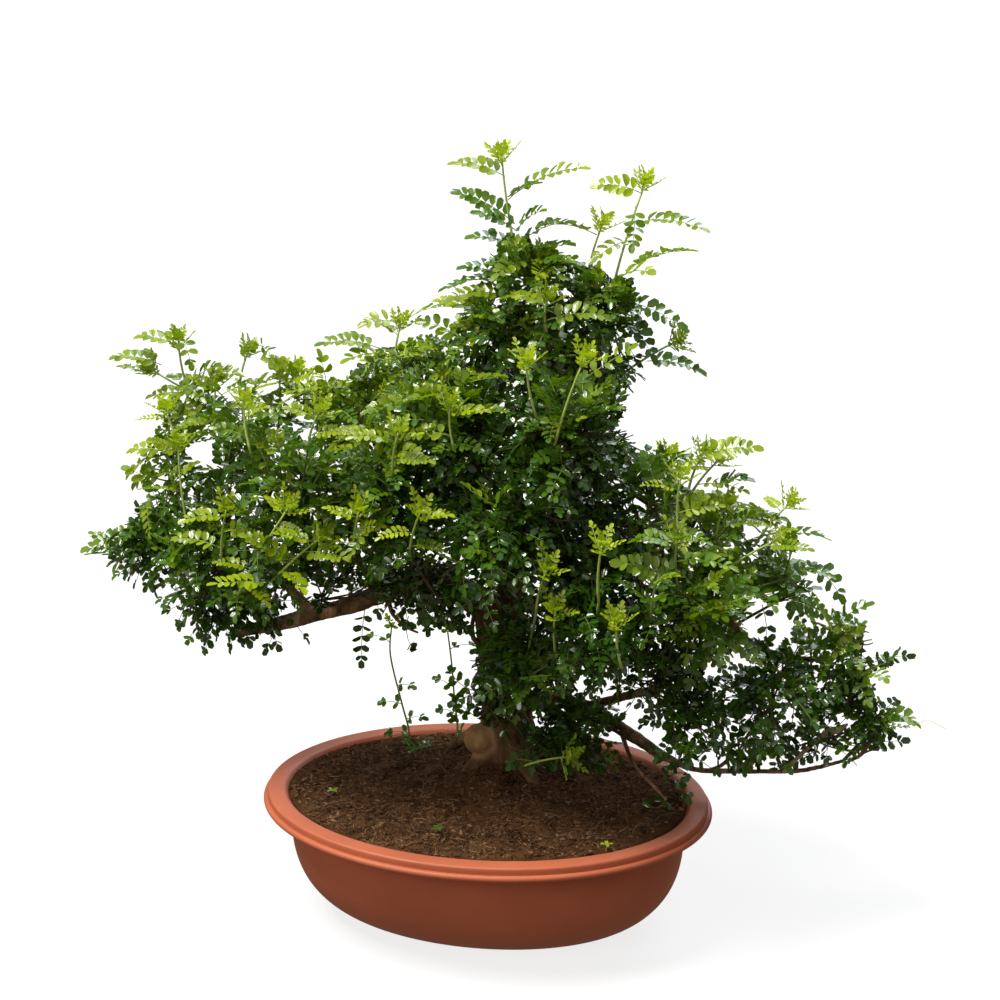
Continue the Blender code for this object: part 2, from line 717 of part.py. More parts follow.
class Spray:
    """A leafy spray: its stem from the wood, its core, its leaves and its long shoots."""

    def __init__(self, name, middle, radius, leaves, tips, wood_tree):
        self.name = name
        self.middle = Vector(middle)
        self.radius = radius
        self.leaves = leaves
        self.tips = [Vector(tip) for tip in tips]
        self.draw = random.Random(f"{SEED} {name}")
        place = wood_tree.find_nearest(self.middle)[0]
        self.out_of_wood = (self.middle - place).normalized()
        self.root = place + self.out_of_wood * STEM_GAP

    def build_core(self, neighbours, collection):
        """The largest core of the set shares that clears the wood and the other cores."""
        for share in CORE_SHARES:
            self.core_radius = share * self.radius
            draw = random.Random(f"{SEED} {self.name} core")
            core, self.hollows = core_mesh(self.name, self.middle, self.core_radius, draw, collection)
            if share == CORE_SHARES[-1] or not neighbours.crossed_by(core):
                break
            remove_object(core)
        bend = self.root + self.out_of_wood * 0.5 * (self.middle - self.root).length
        route = []
        for t in (0.0, 0.5, 1.0):
            place, _ = bezier(self.root, bend, self.middle, t)
            route.append((*place, STEM_RADIUS + (SHOOT_RADIUS - STEM_RADIUS) * t))
        self.pieces = [core, tube(self.name + "_stem", route, 0, collection)]

    def add_leaf(self, root, bend, tip, pairs, neighbours, collection):
        """Adds the leaf if it is clear of its neighbours, its own core and its own leaves."""
        blade = leaf(self.name + "_leaf", root, bend, tip, pairs, collection)
        tree = Neighbours.tree_of(blade)[0]
        core_cuts = tree.overlap(Neighbours.tree_of(self.pieces[0])[0])
        own_leaves = Neighbours()
        for piece in self.pieces[2:]:
            own_leaves.add(piece)
        own_crossed = own_leaves.crossed_by(blade)
        if len(core_cuts) > MOST_CORE_CUTS or own_crossed or neighbours.crossed_by(blade):
            remove_object(blade)
            return False
        self.pieces.append(blade)
        return True

    def reach_tip(self, tip, neighbours, collection):
        """A leaf that ends at a set tip, or a leafy shoot where one leaf is too short."""
        away = tip - self.middle
        direction = away.normalized()
        side = direction.orthogonal().normalized()
        core_root = self.middle + direction * LEAF_ROOT * self.core_radius
        spare = (tip - core_root).length - LEAF_LENGTH
        if spare < SHORTEST_SHOOT:
            for turn in (0.0, 0.3, -0.3, 0.6, -0.6):
                out = (direction + side * turn + Vector((0, 0, 0.4))).normalized()
                bend = core_root + out * 0.5 * (tip - core_root).length
                if self.add_leaf(core_root, bend, tip, LEAF_PAIRS, neighbours, collection):
                    return
            return
        top = tip - direction * 0.75 * LEAF_LENGTH
        halfway = self.middle + away * 0.4 + side * SHOOT_BOW
        route = [(*self.middle, STEM_RADIUS), (*halfway, SHOOT_RADIUS), (*top, SHOOT_RADIUS)]
        shoot = tube(self.name + "_shoot", route, 0, collection)
        start = top - direction * 0.06 * LEAF_LENGTH
        bend = start + direction * 0.4 * LEAF_LENGTH
        end_leaf = leaf(self.name + "_leaf", start, bend, tip + side * SHOOT_BOW, LEAF_PAIRS, collection)
        self.pieces += [shoot, end_leaf]
        if spare > SIDE_LEAF_SPARE:
            start = top - direction * 0.25 * LEAF_LENGTH
            bend = start + (direction * 0.24 + side * 0.16) * LEAF_LENGTH
            end = start + (direction * 0.44 + side * 0.60) * LEAF_LENGTH
            side_leaf = leaf(self.name + "_leaf", start, bend, end, LEAF_PAIRS - 1, collection)
            if neighbours.crossed_by(side_leaf):
                remove_object(side_leaf)
            else:
                self.pieces.append(side_leaf)

    def grow_leaves(self, neighbours, collection):
        """The set tips first, then leaves out of the hollows that face outward and up."""
        for tip in self.tips:
            self.reach_tip(tip, neighbours, collection)
        outward = (self.middle - CANOPY_MIDDLE).normalized()
        ways = sorted(
            self.hollows,
            key=lambda way: -(way.dot(outward) + 0.35 * way.z + self.draw.uniform(0, 0.5)),
        )
        taken = [(tip - self.middle).normalized() for tip in self.tips]
        wanted = len(taken) + self.leaves
        for way in ways:
            if len(taken) == wanted:
                return
            if any(way.angle(other) < LEAST_LEAF_ANGLE for other in taken):
                continue
            if self.grow_one(way, neighbours, collection):
                taken.append(way)

    def grow_one(self, way, neighbours, collection):
        """A leaf out of one hollow, arched a new way until it is clear."""
        root = self.middle + way * LEAF_ROOT * self.core_radius
        for _ in range(LEAF_TRIES):
            sag = Vector([self.draw.uniform(*span) for span in ((-1, 1), (-1, 1), (-1.2, 0.2))])
            sag = (sag - way * sag.dot(way)).normalized()
            reach = 0.55 * self.core_radius + 0.70 * LEAF_LENGTH
            tip = root + way * reach + sag * 0.55 * LEAF_LENGTH
            bend = root + way * 0.5 * (tip - root).length
            if self.add_leaf(root, bend, tip, LEAF_PAIRS, neighbours, collection):
                return True
        return False


def make_suckers(soil, collection, cutters, neighbours):
    """Thin leafy shoots that stand in plain holes in the soil."""
    up = Vector((0, 0, 1))
    made = []
    for name, points in SUCKERS.items():
        draw = random.Random(f"{SEED} {name}")
        route = [(*point, SUCKER_RADIUS) for point in smooth_route(points, 2)]
        low = (*route[0][:2], route[0][2] - GAP, SUCKER_RADIUS)
        hole = tube("sucker_hole", [low, *route[1:]], 0, cutters, extra=GAP)
        boolean(soil, "DIFFERENCE", hole)
        remove_object(hole)
        pieces = [tube(name, route, 0, collection)]
        angle = draw.uniform(0, 2 * math.pi)
        for height in SUCKER_LEAF_HEIGHTS:
            place = Vector(route[round(height * (len(route) - 1))][:3])
            angle += GOLDEN_ANGLE
            side = Vector((math.cos(angle), math.sin(angle), 0))
            bend = place + side * 0.3 * SUCKER_LEAF + up * 0.4 * SUCKER_LEAF
            tip = place + side * 0.9 * SUCKER_LEAF + up * 0.4 * SUCKER_LEAF
            blade = leaf(name + "_leaf", place, bend, tip, 2, collection)
            if neighbours.crossed_by(blade):
                remove_object(blade)
            else:
                pieces.append(blade)
        made.append(fuse(name, pieces, collection))
    return made


def wear(obj, mat, smooth):
    obj.data.materials.clear()
    obj.data.materials.append(mat)
    if smooth:
        obj.data.shade_smooth()
        obj.data.set_sharp_from_angle(angle=math.radians(35))


def main():
    clear_scene()
    collection = new_collection(OBJECT_NAME)
    cutters = new_collection("cutters")
    clay = material("terracotta_plastic", (0.36, 0.105, 0.055), 0.45)
    earth = material("potting_soil", (0.045, 0.024, 0.014), 0.95)
    bark = material("bark", (0.11, 0.062, 0.032), 0.85)
    green = material("leaf_green", (0.045, 0.16, 0.018), 0.35)

    pot = make_pot(collection, cutters)
    soil = make_soil(collection)
    wood = make_wood(collection)
    cut_soil_for_wood(soil, cutters)
    neighbours = Neighbours()
    neighbours.add(pot)
    wood_tree = neighbours.add(wood)[0]
    sprays = [Spray(*row, wood_tree) for row in SPRAYS]
    for spray in sprays:
        spray.build_core(neighbours, collection)
        spray.core_row = neighbours.add(spray.pieces[0])
    suckers = make_suckers(soil, collection, cutters, neighbours)
    neighbours.add(soil)
    for sucker in suckers:
        neighbours.add(sucker)
        wear(sucker, green, False)
    for spray in sprays:
        spray.grow_leaves(neighbours.without(spray.core_row), collection)
        for piece in spray.pieces[1:]:
            neighbours.add(piece)
        wear(fuse(spray.name, spray.pieces, collection), green, False)
    wear(pot, clay, True)
    wear(soil, earth, False)
    wear(wood, bark, True)


main()
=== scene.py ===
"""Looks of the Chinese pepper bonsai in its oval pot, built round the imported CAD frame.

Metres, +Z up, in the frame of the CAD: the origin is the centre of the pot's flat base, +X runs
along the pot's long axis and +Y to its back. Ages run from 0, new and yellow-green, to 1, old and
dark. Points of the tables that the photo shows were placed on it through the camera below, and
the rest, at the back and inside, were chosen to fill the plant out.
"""

import math
from collections.abc import Sequence
from typing import NamedTuple

import bmesh
import bpy
import numpy as np
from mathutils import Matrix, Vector, noise
from mathutils.bvhtree import BVHTree


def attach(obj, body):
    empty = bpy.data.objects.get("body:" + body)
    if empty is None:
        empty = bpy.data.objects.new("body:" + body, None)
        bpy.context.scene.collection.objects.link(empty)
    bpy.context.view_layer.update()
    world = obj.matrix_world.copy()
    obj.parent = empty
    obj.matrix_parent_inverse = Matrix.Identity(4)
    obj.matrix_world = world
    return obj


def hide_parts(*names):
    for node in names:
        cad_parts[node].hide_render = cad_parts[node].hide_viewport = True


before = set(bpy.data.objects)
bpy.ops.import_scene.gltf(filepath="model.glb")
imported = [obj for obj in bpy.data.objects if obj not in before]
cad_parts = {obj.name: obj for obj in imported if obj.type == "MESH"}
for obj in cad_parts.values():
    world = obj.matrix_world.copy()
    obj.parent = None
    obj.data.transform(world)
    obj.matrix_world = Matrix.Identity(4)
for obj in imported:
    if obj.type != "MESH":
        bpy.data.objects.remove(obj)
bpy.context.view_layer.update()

# Camera
CAMERA_PLACE = (0.3775, -1.6795, 0.9141)
CAMERA_AIM = (0.0123, 0.0027, 0.3878)
LENS = 75.2

# Pot
RIM_HALF_LENGTH = 0.200
RIM_HALF_WIDTH = 0.152
POT_HEIGHT = 0.115
POT_WALL = 0.004
FLANGE_WIDTH = 0.0165
FLANGE_ROUND = 0.0022
FLANGE_INSET = 0.0004
BEAD_OUT = 0.0035
BEAD_TOP = 0.1085
BEAD_LOW = 0.1030
BEAD_ROUND = 0.0026
NECK_INSET = 0.0205
NECK_HEIGHT = 0.1030
BASE_INSET = 0.0776
CORNER_POWER = 3.31
CORNER_ROUND = 1.37
DRAIN_RADIUS = 0.006
DRAIN_PLACES = ((-0.07, 0.0), (0.07, 0.0), (0.0, -0.04), (0.0, 0.04))
POT_SIDES = 168

# Soil
GAP = 0.0003
SOIL_EDGE_HEIGHT = 0.1125
SOIL_EDGE_INSET = 0.0192
TRUNK_FOOT = (0.012, 0.050)
FOOT_CLEAR = 0.033
FOOT_MOUND = 0.028
FOOT_MOUND_REACH = 0.050
END_MOUND = 0.009
END_MOUND_PLACE = (0.140, 0.010)
END_MOUND_REACH = 0.050
SOIL_BUMP = 0.0012
CLOD_HEIGHT = 0.0017
PIT_HEIGHT = 0.0007
SOIL_SIDES = 180
SOIL_RINGS = 46
CRUMBS = 5200
CRUMB_EDGE = 0.0015
CRUMB_LEAST = 0.0007
CRUMB_SPREAD = 0.0013
FIBRES = 3600
FIBRE_EDGE = 0.002
FIBRE_END_EDGE = 0.001
FIBRE_LEAST_LENGTH = 0.0035
FIBRE_LENGTH_SPREAD = 0.0125
FIBRE_LEAST_RADIUS = 0.00017
FIBRE_RADIUS_SPREAD = 0.00026
FIBRE_LEAST_LIFT = 0.0003
FIBRE_LIFT_SPREAD = 0.0020

# Wood routes, as (x, y, z, radius)
TRUNK = (
    (0.012, 0.05, 0.1, 0.029), (0.012, 0.05, 0.132, 0.0285), (0.009, 0.05, 0.156, 0.025),
    (0.006, 0.05, 0.2, 0.0225), (0.003, 0.05, 0.24, 0.0218), (0.0, 0.05, 0.27, 0.021),
    (0.004, 0.052, 0.3, 0.018), (0.012, 0.055, 0.335, 0.015), (0.024, 0.056, 0.385, 0.012),
    (0.036, 0.055, 0.44, 0.0095), (0.044, 0.055, 0.5, 0.007), (0.045, 0.056, 0.55, 0.0042),
)
LIMBS = {
    "left": (
        (0.004, 0.05, 0.256, 0.0135), (-0.029, 0.048, 0.283, 0.0125), (-0.056, 0.045, 0.294, 0.0115),
        (-0.084, 0.042, 0.289, 0.01), (-0.136, 0.036, 0.268, 0.0086), (-0.164, 0.033, 0.26, 0.0078),
        (-0.199, 0.03, 0.248, 0.0068), (-0.243, 0.03, 0.236, 0.0056),
    ),
    "left_inner_branch": (
        (-0.1, 0.04, 0.284, 0.005), (-0.122, 0.02, 0.32, 0.0042), (-0.12, 0.0, 0.37, 0.0036),
        (-0.105, 0.005, 0.415, 0.0028),
    ),
    "left_middle_branch": (
        (-0.168, 0.033, 0.259, 0.005), (-0.205, 0.034, 0.3, 0.0042), (-0.216, 0.04, 0.345, 0.0034),
        (-0.205, 0.048, 0.38, 0.0028),
    ),
    "left_outer_branch": (
        (-0.205, 0.03, 0.246, 0.0048), (-0.25, 0.05, 0.272, 0.004), (-0.285, 0.065, 0.31, 0.0033),
        (-0.29, 0.075, 0.355, 0.0026),
    ),
    "left_back_branch": (
        (-0.06, 0.045, 0.293, 0.0056), (-0.095, 0.085, 0.312, 0.0048), (-0.145, 0.115, 0.34, 0.004),
        (-0.205, 0.125, 0.36, 0.003),
    ),
    "left_front_branch": (
        (-0.04, 0.047, 0.288, 0.005), (-0.05, 0.005, 0.308, 0.004), (-0.048, -0.02, 0.335, 0.003),
    ),
    "left_under_twig": (
        (-0.098, 0.04, 0.282, 0.0022), (-0.094, 0.03, 0.268, 0.0019), (-0.08, 0.022, 0.258, 0.0014),
        (-0.066, 0.018, 0.254, 0.001),
    ),
    "right_low": (
        (0.01, 0.05, 0.18, 0.009), (0.04, 0.048, 0.187, 0.008), (0.072, 0.045, 0.187, 0.0075),
        (0.103, 0.042, 0.174, 0.0068), (0.131, 0.038, 0.1606, 0.006), (0.152, 0.036, 0.149, 0.0044),
        (0.182, 0.036, 0.137, 0.003), (0.216, 0.038, 0.1375, 0.0027), (0.25, 0.042, 0.1385, 0.0025),
        (0.28, 0.045, 0.1415, 0.0023), (0.316, 0.048, 0.153, 0.002),
    ),
    "right_middle": (
        (0.083, 0.044, 0.185, 0.0048), (0.118, 0.04, 0.2, 0.0043), (0.15, 0.034, 0.215, 0.0038),
        (0.17, 0.044, 0.245, 0.0032), (0.2, 0.052, 0.256, 0.0024),
    ),
    "right_dead_twig": (
        (0.117, 0.037, 0.165, 0.0026), (0.125, 0.024, 0.153, 0.0018), (0.137, 0.01, 0.142, 0.0015),
        (0.152, -0.002, 0.134, 0.0013), (0.165, -0.012, 0.127, 0.001),
    ),
    "right_upper": (
        (0.006, 0.052, 0.308, 0.01), (0.062, 0.05, 0.33, 0.0085), (0.116, 0.046, 0.34, 0.0072),
        (0.165, 0.046, 0.32, 0.006), (0.2, 0.048, 0.285, 0.0048), (0.23, 0.054, 0.252, 0.0038),
        (0.27, 0.062, 0.24, 0.003), (0.3, 0.062, 0.244, 0.0024),
    ),
    "back_middle": (
        (0.006, 0.054, 0.295, 0.0075), (0.018, 0.095, 0.325, 0.006), (0.04, 0.13, 0.36, 0.0048),
        (0.046, 0.145, 0.4, 0.0034),
    ),
    "back_right": (
        (0.014, 0.055, 0.34, 0.007), (0.07, 0.1, 0.345, 0.0058), (0.12, 0.115, 0.335, 0.0048),
        (0.185, 0.12, 0.305, 0.0038), (0.24, 0.118, 0.27, 0.0028),
    ),
    "back_left": (
        (0.0, 0.052, 0.28, 0.007), (-0.02, 0.095, 0.305, 0.0056), (-0.045, 0.125, 0.345, 0.0044),
        (-0.055, 0.135, 0.39, 0.0032),
    ),
    "front_upper": (
        (0.014, 0.055, 0.342, 0.007), (0.026, 0.015, 0.37, 0.0056), (0.032, -0.015, 0.4, 0.0042),
        (0.03, -0.02, 0.43, 0.003),
    ),
    "front_lower": (
        (0.004, 0.05, 0.26, 0.0062), (0.04, 0.01, 0.295, 0.0048), (0.075, -0.02, 0.315, 0.0036),
        (0.11, -0.025, 0.33, 0.0026),
    ),
    "apex_side": (
        (0.042, 0.055, 0.49, 0.0042), (0.062, 0.06, 0.515, 0.0034), (0.086, 0.072, 0.535, 0.0024),
    ),
    "trunk_sucker_stub": (
        (0.0, 0.046, 0.23, 0.003), (-0.018, 0.03, 0.248, 0.0024), (-0.016, 0.024, 0.275, 0.0016),
    ),
}
# Thin ends on the low right limb: the first two have bark, the pale ones after them have lost it
SNAGS = (
    (
        (0.196, 0.036, 0.137, 0.0019), (0.207, 0.033, 0.144, 0.0018), (0.216, 0.03, 0.156, 0.0016),
        (0.212, 0.029, 0.161, 0.0013), (0.205, 0.028, 0.165, 0.0008),
    ),
    ((0.318, 0.048, 0.153, 0.0019), (0.329, 0.047, 0.16, 0.0016), (0.338, 0.05, 0.175, 0.0014)),
    (
        (0.222, 0.038, 0.1375, 0.0026), (0.23, 0.034, 0.146, 0.0042), (0.236, 0.033, 0.154, 0.003),
        (0.24, 0.032, 0.161, 0.0008),
    ),
    (
        (0.262, 0.042, 0.139, 0.0022), (0.28, 0.041, 0.162, 0.002), (0.297, 0.04, 0.18, 0.003),
        (0.308, 0.04, 0.185, 0.0036), (0.316, 0.04, 0.191, 0.001),
    ),
)
BARKED_SNAGS = 2
LIMB_CUT_REACH = 0.010
ROOTS = (
    ((0.0, 0.036, 0.142, 0.011), (-0.022, 0.02, 0.121, 0.0065), (-0.04, 0.006, 0.104, 0.0032)),
    ((0.022, 0.034, 0.14, 0.011), (0.038, 0.016, 0.122, 0.007), (0.054, 0.0, 0.104, 0.0036)),
    ((0.034, 0.056, 0.144, 0.011), (0.058, 0.062, 0.134, 0.007), (0.08, 0.068, 0.114, 0.0032)),
    ((-0.008, 0.064, 0.144, 0.011), (-0.032, 0.074, 0.134, 0.007), (-0.054, 0.084, 0.114, 0.0034)),
)
BURL_PLACE = (-0.013, 0.032, 0.150)
BURL_RADIUS = 0.0145
BURL_CALM = 0.010
# Middle of the painted shade on the trunk, where the canopy shades it
TRUNK_SHADE_PLACE = (0.006, 0.045, 0.200)
BARK_VOXEL = 0.0018
BARK_RELIEF = 0.0016
FULL_RELIEF_RADIUS = 0.018
BARK_KEPT = 0.50
LEAST_FUSED_RADIUS = 0.0042
POINTS_AT_ONCE = 4000


class Spray(NamedTuple):
    """What grows on one spray: a round of twigs at its middle, and single things placed beside it."""

    middle: tuple
    radius: float
    twigs: int
    # Thicker growth beside it, as (middle, radius, twigs)
    lobes: Sequence = ()
    # Shoots that stand out of it, and leaders with a bud of new leaves, as (start, tip, age)
    shoots: Sequence = ()
    leaders: Sequence = ()
    # Single leaves that arch out, and ones that hang or lie low, as (root, tip, pairs, age)
    arches: Sequence = ()
    hanging: Sequence = ()


SPRAYS = {
    "left_spray_1": Spray(
        (-0.312, 0.055, 0.4), 0.052, 12,
        lobes=[((-0.295, 0.02, 0.365), 0.032, 8)],
        shoots=[
            ((-0.28, 0.02, 0.41), (-0.305, 0.03, 0.455), 0.08),
            ((-0.265, -0.02, 0.35), (-0.275, -0.01, 0.435), 0.15),
            ((-0.265, 0.05, 0.45), (-0.33, 0.05, 0.48), 0.25),
        ],
        leaders=[((-0.285, 0.05, 0.455), (-0.295, 0.05, 0.515), 0.3)],
        arches=[
            ((-0.298, 0.05, 0.5), (-0.325, 0.05, 0.505), 4, 0.2),
            ((-0.31, 0.05, 0.48), (-0.35, 0.05, 0.485), 6, 0.3),
            ((-0.265, 0.04, 0.47), (-0.235, 0.03, 0.48), 5, 0.35),
            ((-0.28, 0.04, 0.465), (-0.255, 0.03, 0.485), 4, 0.45),
            ((-0.265, 0.05, 0.45), (-0.295, 0.05, 0.468), 4, 0.35),
        ],
        hanging=[((-0.285, 0.04, 0.505), (-0.275, 0.03, 0.49), 3, 0.35)],
    ),
    "left_spray_2": Spray(
        (-0.325, 0.035, 0.312), 0.048, 26,
        lobes=[
            ((-0.25, 0.01, 0.26), 0.03, 10), ((-0.26, 0.03, 0.255), 0.028, 5),
            ((-0.215, 0.01, 0.265), 0.02, 6),
        ],
        shoots=[((-0.31, 0.04, 0.31), (-0.385, 0.04, 0.3), 0.5)],
        arches=[
            ((-0.3, 0.03, 0.41), (-0.335, 0.03, 0.385), 5, 0.25),
            ((-0.345, 0.04, 0.305), (-0.385, 0.04, 0.304), 6, 0.5),
            ((-0.33, 0.03, 0.32), (-0.37, 0.03, 0.315), 4, 0.4),
            ((-0.305, 0.03, 0.405), (-0.33, 0.03, 0.405), 4, 0.2),
            ((-0.305, 0.03, 0.395), (-0.33, 0.03, 0.375), 4, 0.3),
            ((-0.312, 0.03, 0.37), (-0.335, 0.03, 0.385), 3, 0.3),
        ],
        hanging=[
            ((-0.228, 0.01, 0.27), (-0.222, 0.01, 0.238), 3, 0.8),
            ((-0.198, 0.01, 0.27), (-0.196, 0.01, 0.236), 3, 0.9),
            ((-0.263, 0.01, 0.261), (-0.28, 0.01, 0.234), 2, 0.45),
            ((-0.23, 0.01, 0.258), (-0.24, 0.01, 0.23), 3, 0.85),
            ((-0.255, 0.01, 0.252), (-0.265, 0.01, 0.225), 3, 0.75),
        ],
    ),
    "left_spray_3": Spray(
        (-0.24, -0.02, 0.318), 0.055, 26,
        lobes=[((-0.24, 0.02, 0.375), 0.036, 6), ((-0.205, 0.02, 0.285), 0.028, 7)],
        shoots=[
            ((-0.205, -0.07, 0.305), (-0.14, -0.1, 0.41), 0.12),
            ((-0.18, -0.08, 0.315), (-0.11, -0.1, 0.385), 0.25),
            ((-0.22, -0.06, 0.335), (-0.205, -0.08, 0.4), 0.2),
        ],
    ),
    "left_spray_4": Spray(
        (-0.222, 0.02, 0.43), 0.058, 12,
        shoots=[
            ((-0.25, 0.02, 0.43), (-0.25, 0.03, 0.485), 0.18),
            ((-0.19, 0.03, 0.44), (-0.195, 0.04, 0.495), 0.22),
            ((-0.2, -0.03, 0.425), (-0.21, -0.02, 0.48), 0.12),
        ],
        leaders=[((-0.23, 0.03, 0.465), (-0.22, 0.04, 0.512), 0.3)],
        arches=[
            ((-0.18, 0.03, 0.48), (-0.195, 0.02, 0.495), 4, 0.22),
            ((-0.22, 0.03, 0.465), (-0.195, 0.02, 0.48), 4, 0.35),
        ],
        hanging=[((-0.215, 0.04, 0.505), (-0.2, 0.03, 0.495), 3, 0.4)],
    ),
    "left_spray_5": Spray(
        (-0.158, -0.045, 0.352), 0.056, 28,
        lobes=[
            ((-0.15, -0.04, 0.415), 0.04, 9), ((-0.095, 0.0, 0.41), 0.04, 6),
            ((-0.165, 0.0, 0.395), 0.038, 6),
        ],
        shoots=[
            ((-0.095, -0.08, 0.355), (-0.08, -0.11, 0.415), 0.12),
            ((-0.13, -0.09, 0.45), (-0.115, -0.09, 0.495), 0.15),
        ],
    ),
    "left_spray_6": Spray(
        (-0.125, 0.04, 0.462), 0.058, 24,
        lobes=[((-0.07, 0.04, 0.5), 0.036, 9)],
        shoots=[
            ((-0.175, 0.03, 0.46), (-0.18, 0.04, 0.495), 0.1),
            ((-0.09, 0.04, 0.485), (-0.085, 0.05, 0.54), 0.1),
        ],
        arches=[
            ((-0.1, 0.03, 0.51), (-0.145, 0.02, 0.515), 7, 0.3),
            ((-0.1, 0.03, 0.505), (-0.12, 0.01, 0.505), 4, 0.25),
            ((-0.095, 0.05, 0.53), (-0.112, 0.04, 0.53), 3, 0.12),
            ((-0.085, 0.05, 0.53), (-0.05, 0.05, 0.545), 5, 0.22),
            ((-0.148, 0.03, 0.468), (-0.155, 0.035, 0.495), 3, 0.2),
        ],
    ),
    "left_spray_7": Spray(
        (-0.072, -0.06, 0.385), 0.056, 34,
        lobes=[
            ((-0.065, -0.05, 0.44), 0.04, 9), ((-0.05, 0.0, 0.295), 0.032, 12),
            ((-0.025, -0.02, 0.282), 0.03, 11), ((-0.035, -0.02, 0.39), 0.04, 7),
            ((-0.05, 0.0, 0.33), 0.036, 6),
        ],
        shoots=[
            ((-0.045, -0.09, 0.36), (-0.025, -0.12, 0.42), 0.12),
            ((-0.055, -0.1, 0.435), (-0.045, -0.11, 0.485), 0.18),
        ],
    ),
    "left_spray_8": Spray(
        (-0.15, 0.0, 0.285), 0.03, 8,
        lobes=[
            ((-0.095, 0.03, 0.285), 0.026, 9), ((-0.135, 0.02, 0.305), 0.026, 7),
            ((-0.085, 0.01, 0.3), 0.02, 6),
        ],
        hanging=[
            ((-0.115, 0.02, 0.275), (-0.12, 0.02, 0.223), 5, 0.9),
            ((-0.07, 0.0, 0.276), (-0.068, 0.0, 0.248), 2, 0.85),
            ((-0.185, 0.01, 0.265), (-0.17, 0.01, 0.245), 2, 0.8),
            ((-0.195, 0.01, 0.265), (-0.205, 0.01, 0.232), 3, 0.85),
            ((-0.105, 0.01, 0.295), (-0.1, 0.01, 0.275), 2, 0.85),
            ((-0.08, 0.01, 0.295), (-0.075, 0.01, 0.267), 3, 0.85),
            ((-0.065, 0.01, 0.29), (-0.055, 0.01, 0.262), 2, 0.8),
        ],
    ),
    "middle_spray_1": Spray(
        (-0.03, -0.02, 0.455), 0.056, 34,
        lobes=[((0.015, -0.03, 0.43), 0.045, 13), ((-0.015, 0.0, 0.44), 0.04, 6)],
        shoots=[((-0.01, -0.07, 0.45), (-0.015, -0.07, 0.5), 0.22)],
    ),
    "middle_spray_2": Spray(
        (0.0, 0.04, 0.52), 0.052, 30,
        shoots=[((-0.015, 0.04, 0.525), (-0.025, 0.05, 0.56), 0.25)],
        arches=[
            ((0.0, 0.05, 0.57), (-0.04, 0.04, 0.565), 6, 0.5),
            ((0.005, 0.04, 0.56), (-0.03, 0.02, 0.56), 6, 0.3),
            ((-0.03, 0.04, 0.52), (-0.06, 0.04, 0.532), 4, 0.35),
        ],
    ),
    "middle_spray_3": Spray(
        (0.078, -0.04, 0.455), 0.06, 36,
        lobes=[((0.05, -0.02, 0.45), 0.04, 6), ((0.105, -0.02, 0.445), 0.038, 6)],
        leaders=[
            ((0.075, -0.08, 0.46), (0.105, -0.09, 0.55), 0.08),
            ((0.06, -0.078, 0.485), (0.052, -0.09, 0.545), 0.1),
        ],
        hanging=[((0.1, -0.08, 0.52), (0.135, -0.08, 0.545), 4, 0.3)],
    ),
    "middle_spray_4": Spray(
        (0.03, -0.08, 0.37), 0.056, 38,
        lobes=[
            ((0.06, -0.06, 0.41), 0.045, 13), ((0.015, 0.0, 0.37), 0.042, 8),
            ((0.07, -0.02, 0.365), 0.042, 8),
        ],
    ),
    "apex_spray_1": Spray(
        (0.022, 0.062, 0.585), 0.046, 24,
        lobes=[
            ((0.05, 0.01, 0.475), 0.045, 13), ((0.025, 0.06, 0.565), 0.03, 7),
            ((0.055, 0.06, 0.535), 0.028, 5),
        ],
        shoots=[((0.055, -0.01, 0.54), (0.055, -0.01, 0.58), 0.3)],
        leaders=[((0.015, 0.07, 0.575), (-0.005, 0.08, 0.685), 0.1)],
        arches=[
            ((0.0, 0.08, 0.655), (-0.04, 0.08, 0.665), 6, 0.25),
            ((0.008, 0.08, 0.64), (0.065, 0.07, 0.665), 7, 0.3),
            ((0.01, 0.075, 0.615), (-0.035, 0.07, 0.64), 7, 0.45),
            ((0.015, 0.07, 0.6), (0.055, 0.06, 0.62), 5, 0.6),
            ((0.015, 0.07, 0.595), (-0.02, 0.06, 0.605), 5, 0.5),
            ((0.01, 0.06, 0.57), (-0.025, 0.05, 0.58), 5, 0.55),
            ((0.012, 0.07, 0.61), (-0.015, 0.06, 0.625), 5, 0.5),
            ((0.012, 0.07, 0.61), (0.035, 0.05, 0.63), 4, 0.45),
            ((0.02, 0.06, 0.585), (0.06, 0.04, 0.605), 6, 0.6),
            ((0.003, 0.078, 0.635), (0.025, 0.07, 0.65), 4, 0.45),
        ],
    ),
    "apex_spray_2": Spray(
        (0.096, 0.05, 0.555), 0.05, 26,
        lobes=[
            ((0.085, 0.02, 0.5), 0.03, 9), ((0.085, 0.05, 0.53), 0.03, 7),
            ((0.088, 0.04, 0.495), 0.028, 6), ((0.112, 0.05, 0.49), 0.018, 4),
        ],
        leaders=[
            ((0.075, 0.06, 0.565), (0.09, 0.07, 0.63), 0.04),
            ((0.095, 0.06, 0.55), (0.125, 0.08, 0.665), 0.08),
            ((0.1, 0.05, 0.485), (0.165, 0.055, 0.53), 0.34),
        ],
        arches=[
            ((0.083, 0.065, 0.61), (0.045, 0.05, 0.62), 6, 0.4),
            ((0.118, 0.078, 0.645), (0.085, 0.08, 0.65), 5, 0.15),
            ((0.115, 0.075, 0.62), (0.17, 0.06, 0.62), 7, 0.35),
            ((0.108, 0.065, 0.58), (0.16, 0.06, 0.6), 8, 0.2),
            ((0.105, 0.062, 0.575), (0.13, 0.04, 0.585), 3, 0.15),
            ((0.11, 0.07, 0.605), (0.088, 0.05, 0.595), 4, 0.3),
            ((0.095, 0.06, 0.555), (0.155, 0.05, 0.54), 7, 0.62),
            ((0.11, 0.05, 0.545), (0.135, 0.04, 0.515), 5, 0.7),
            ((0.13, 0.052, 0.505), (0.172, 0.05, 0.5), 6, 0.55),
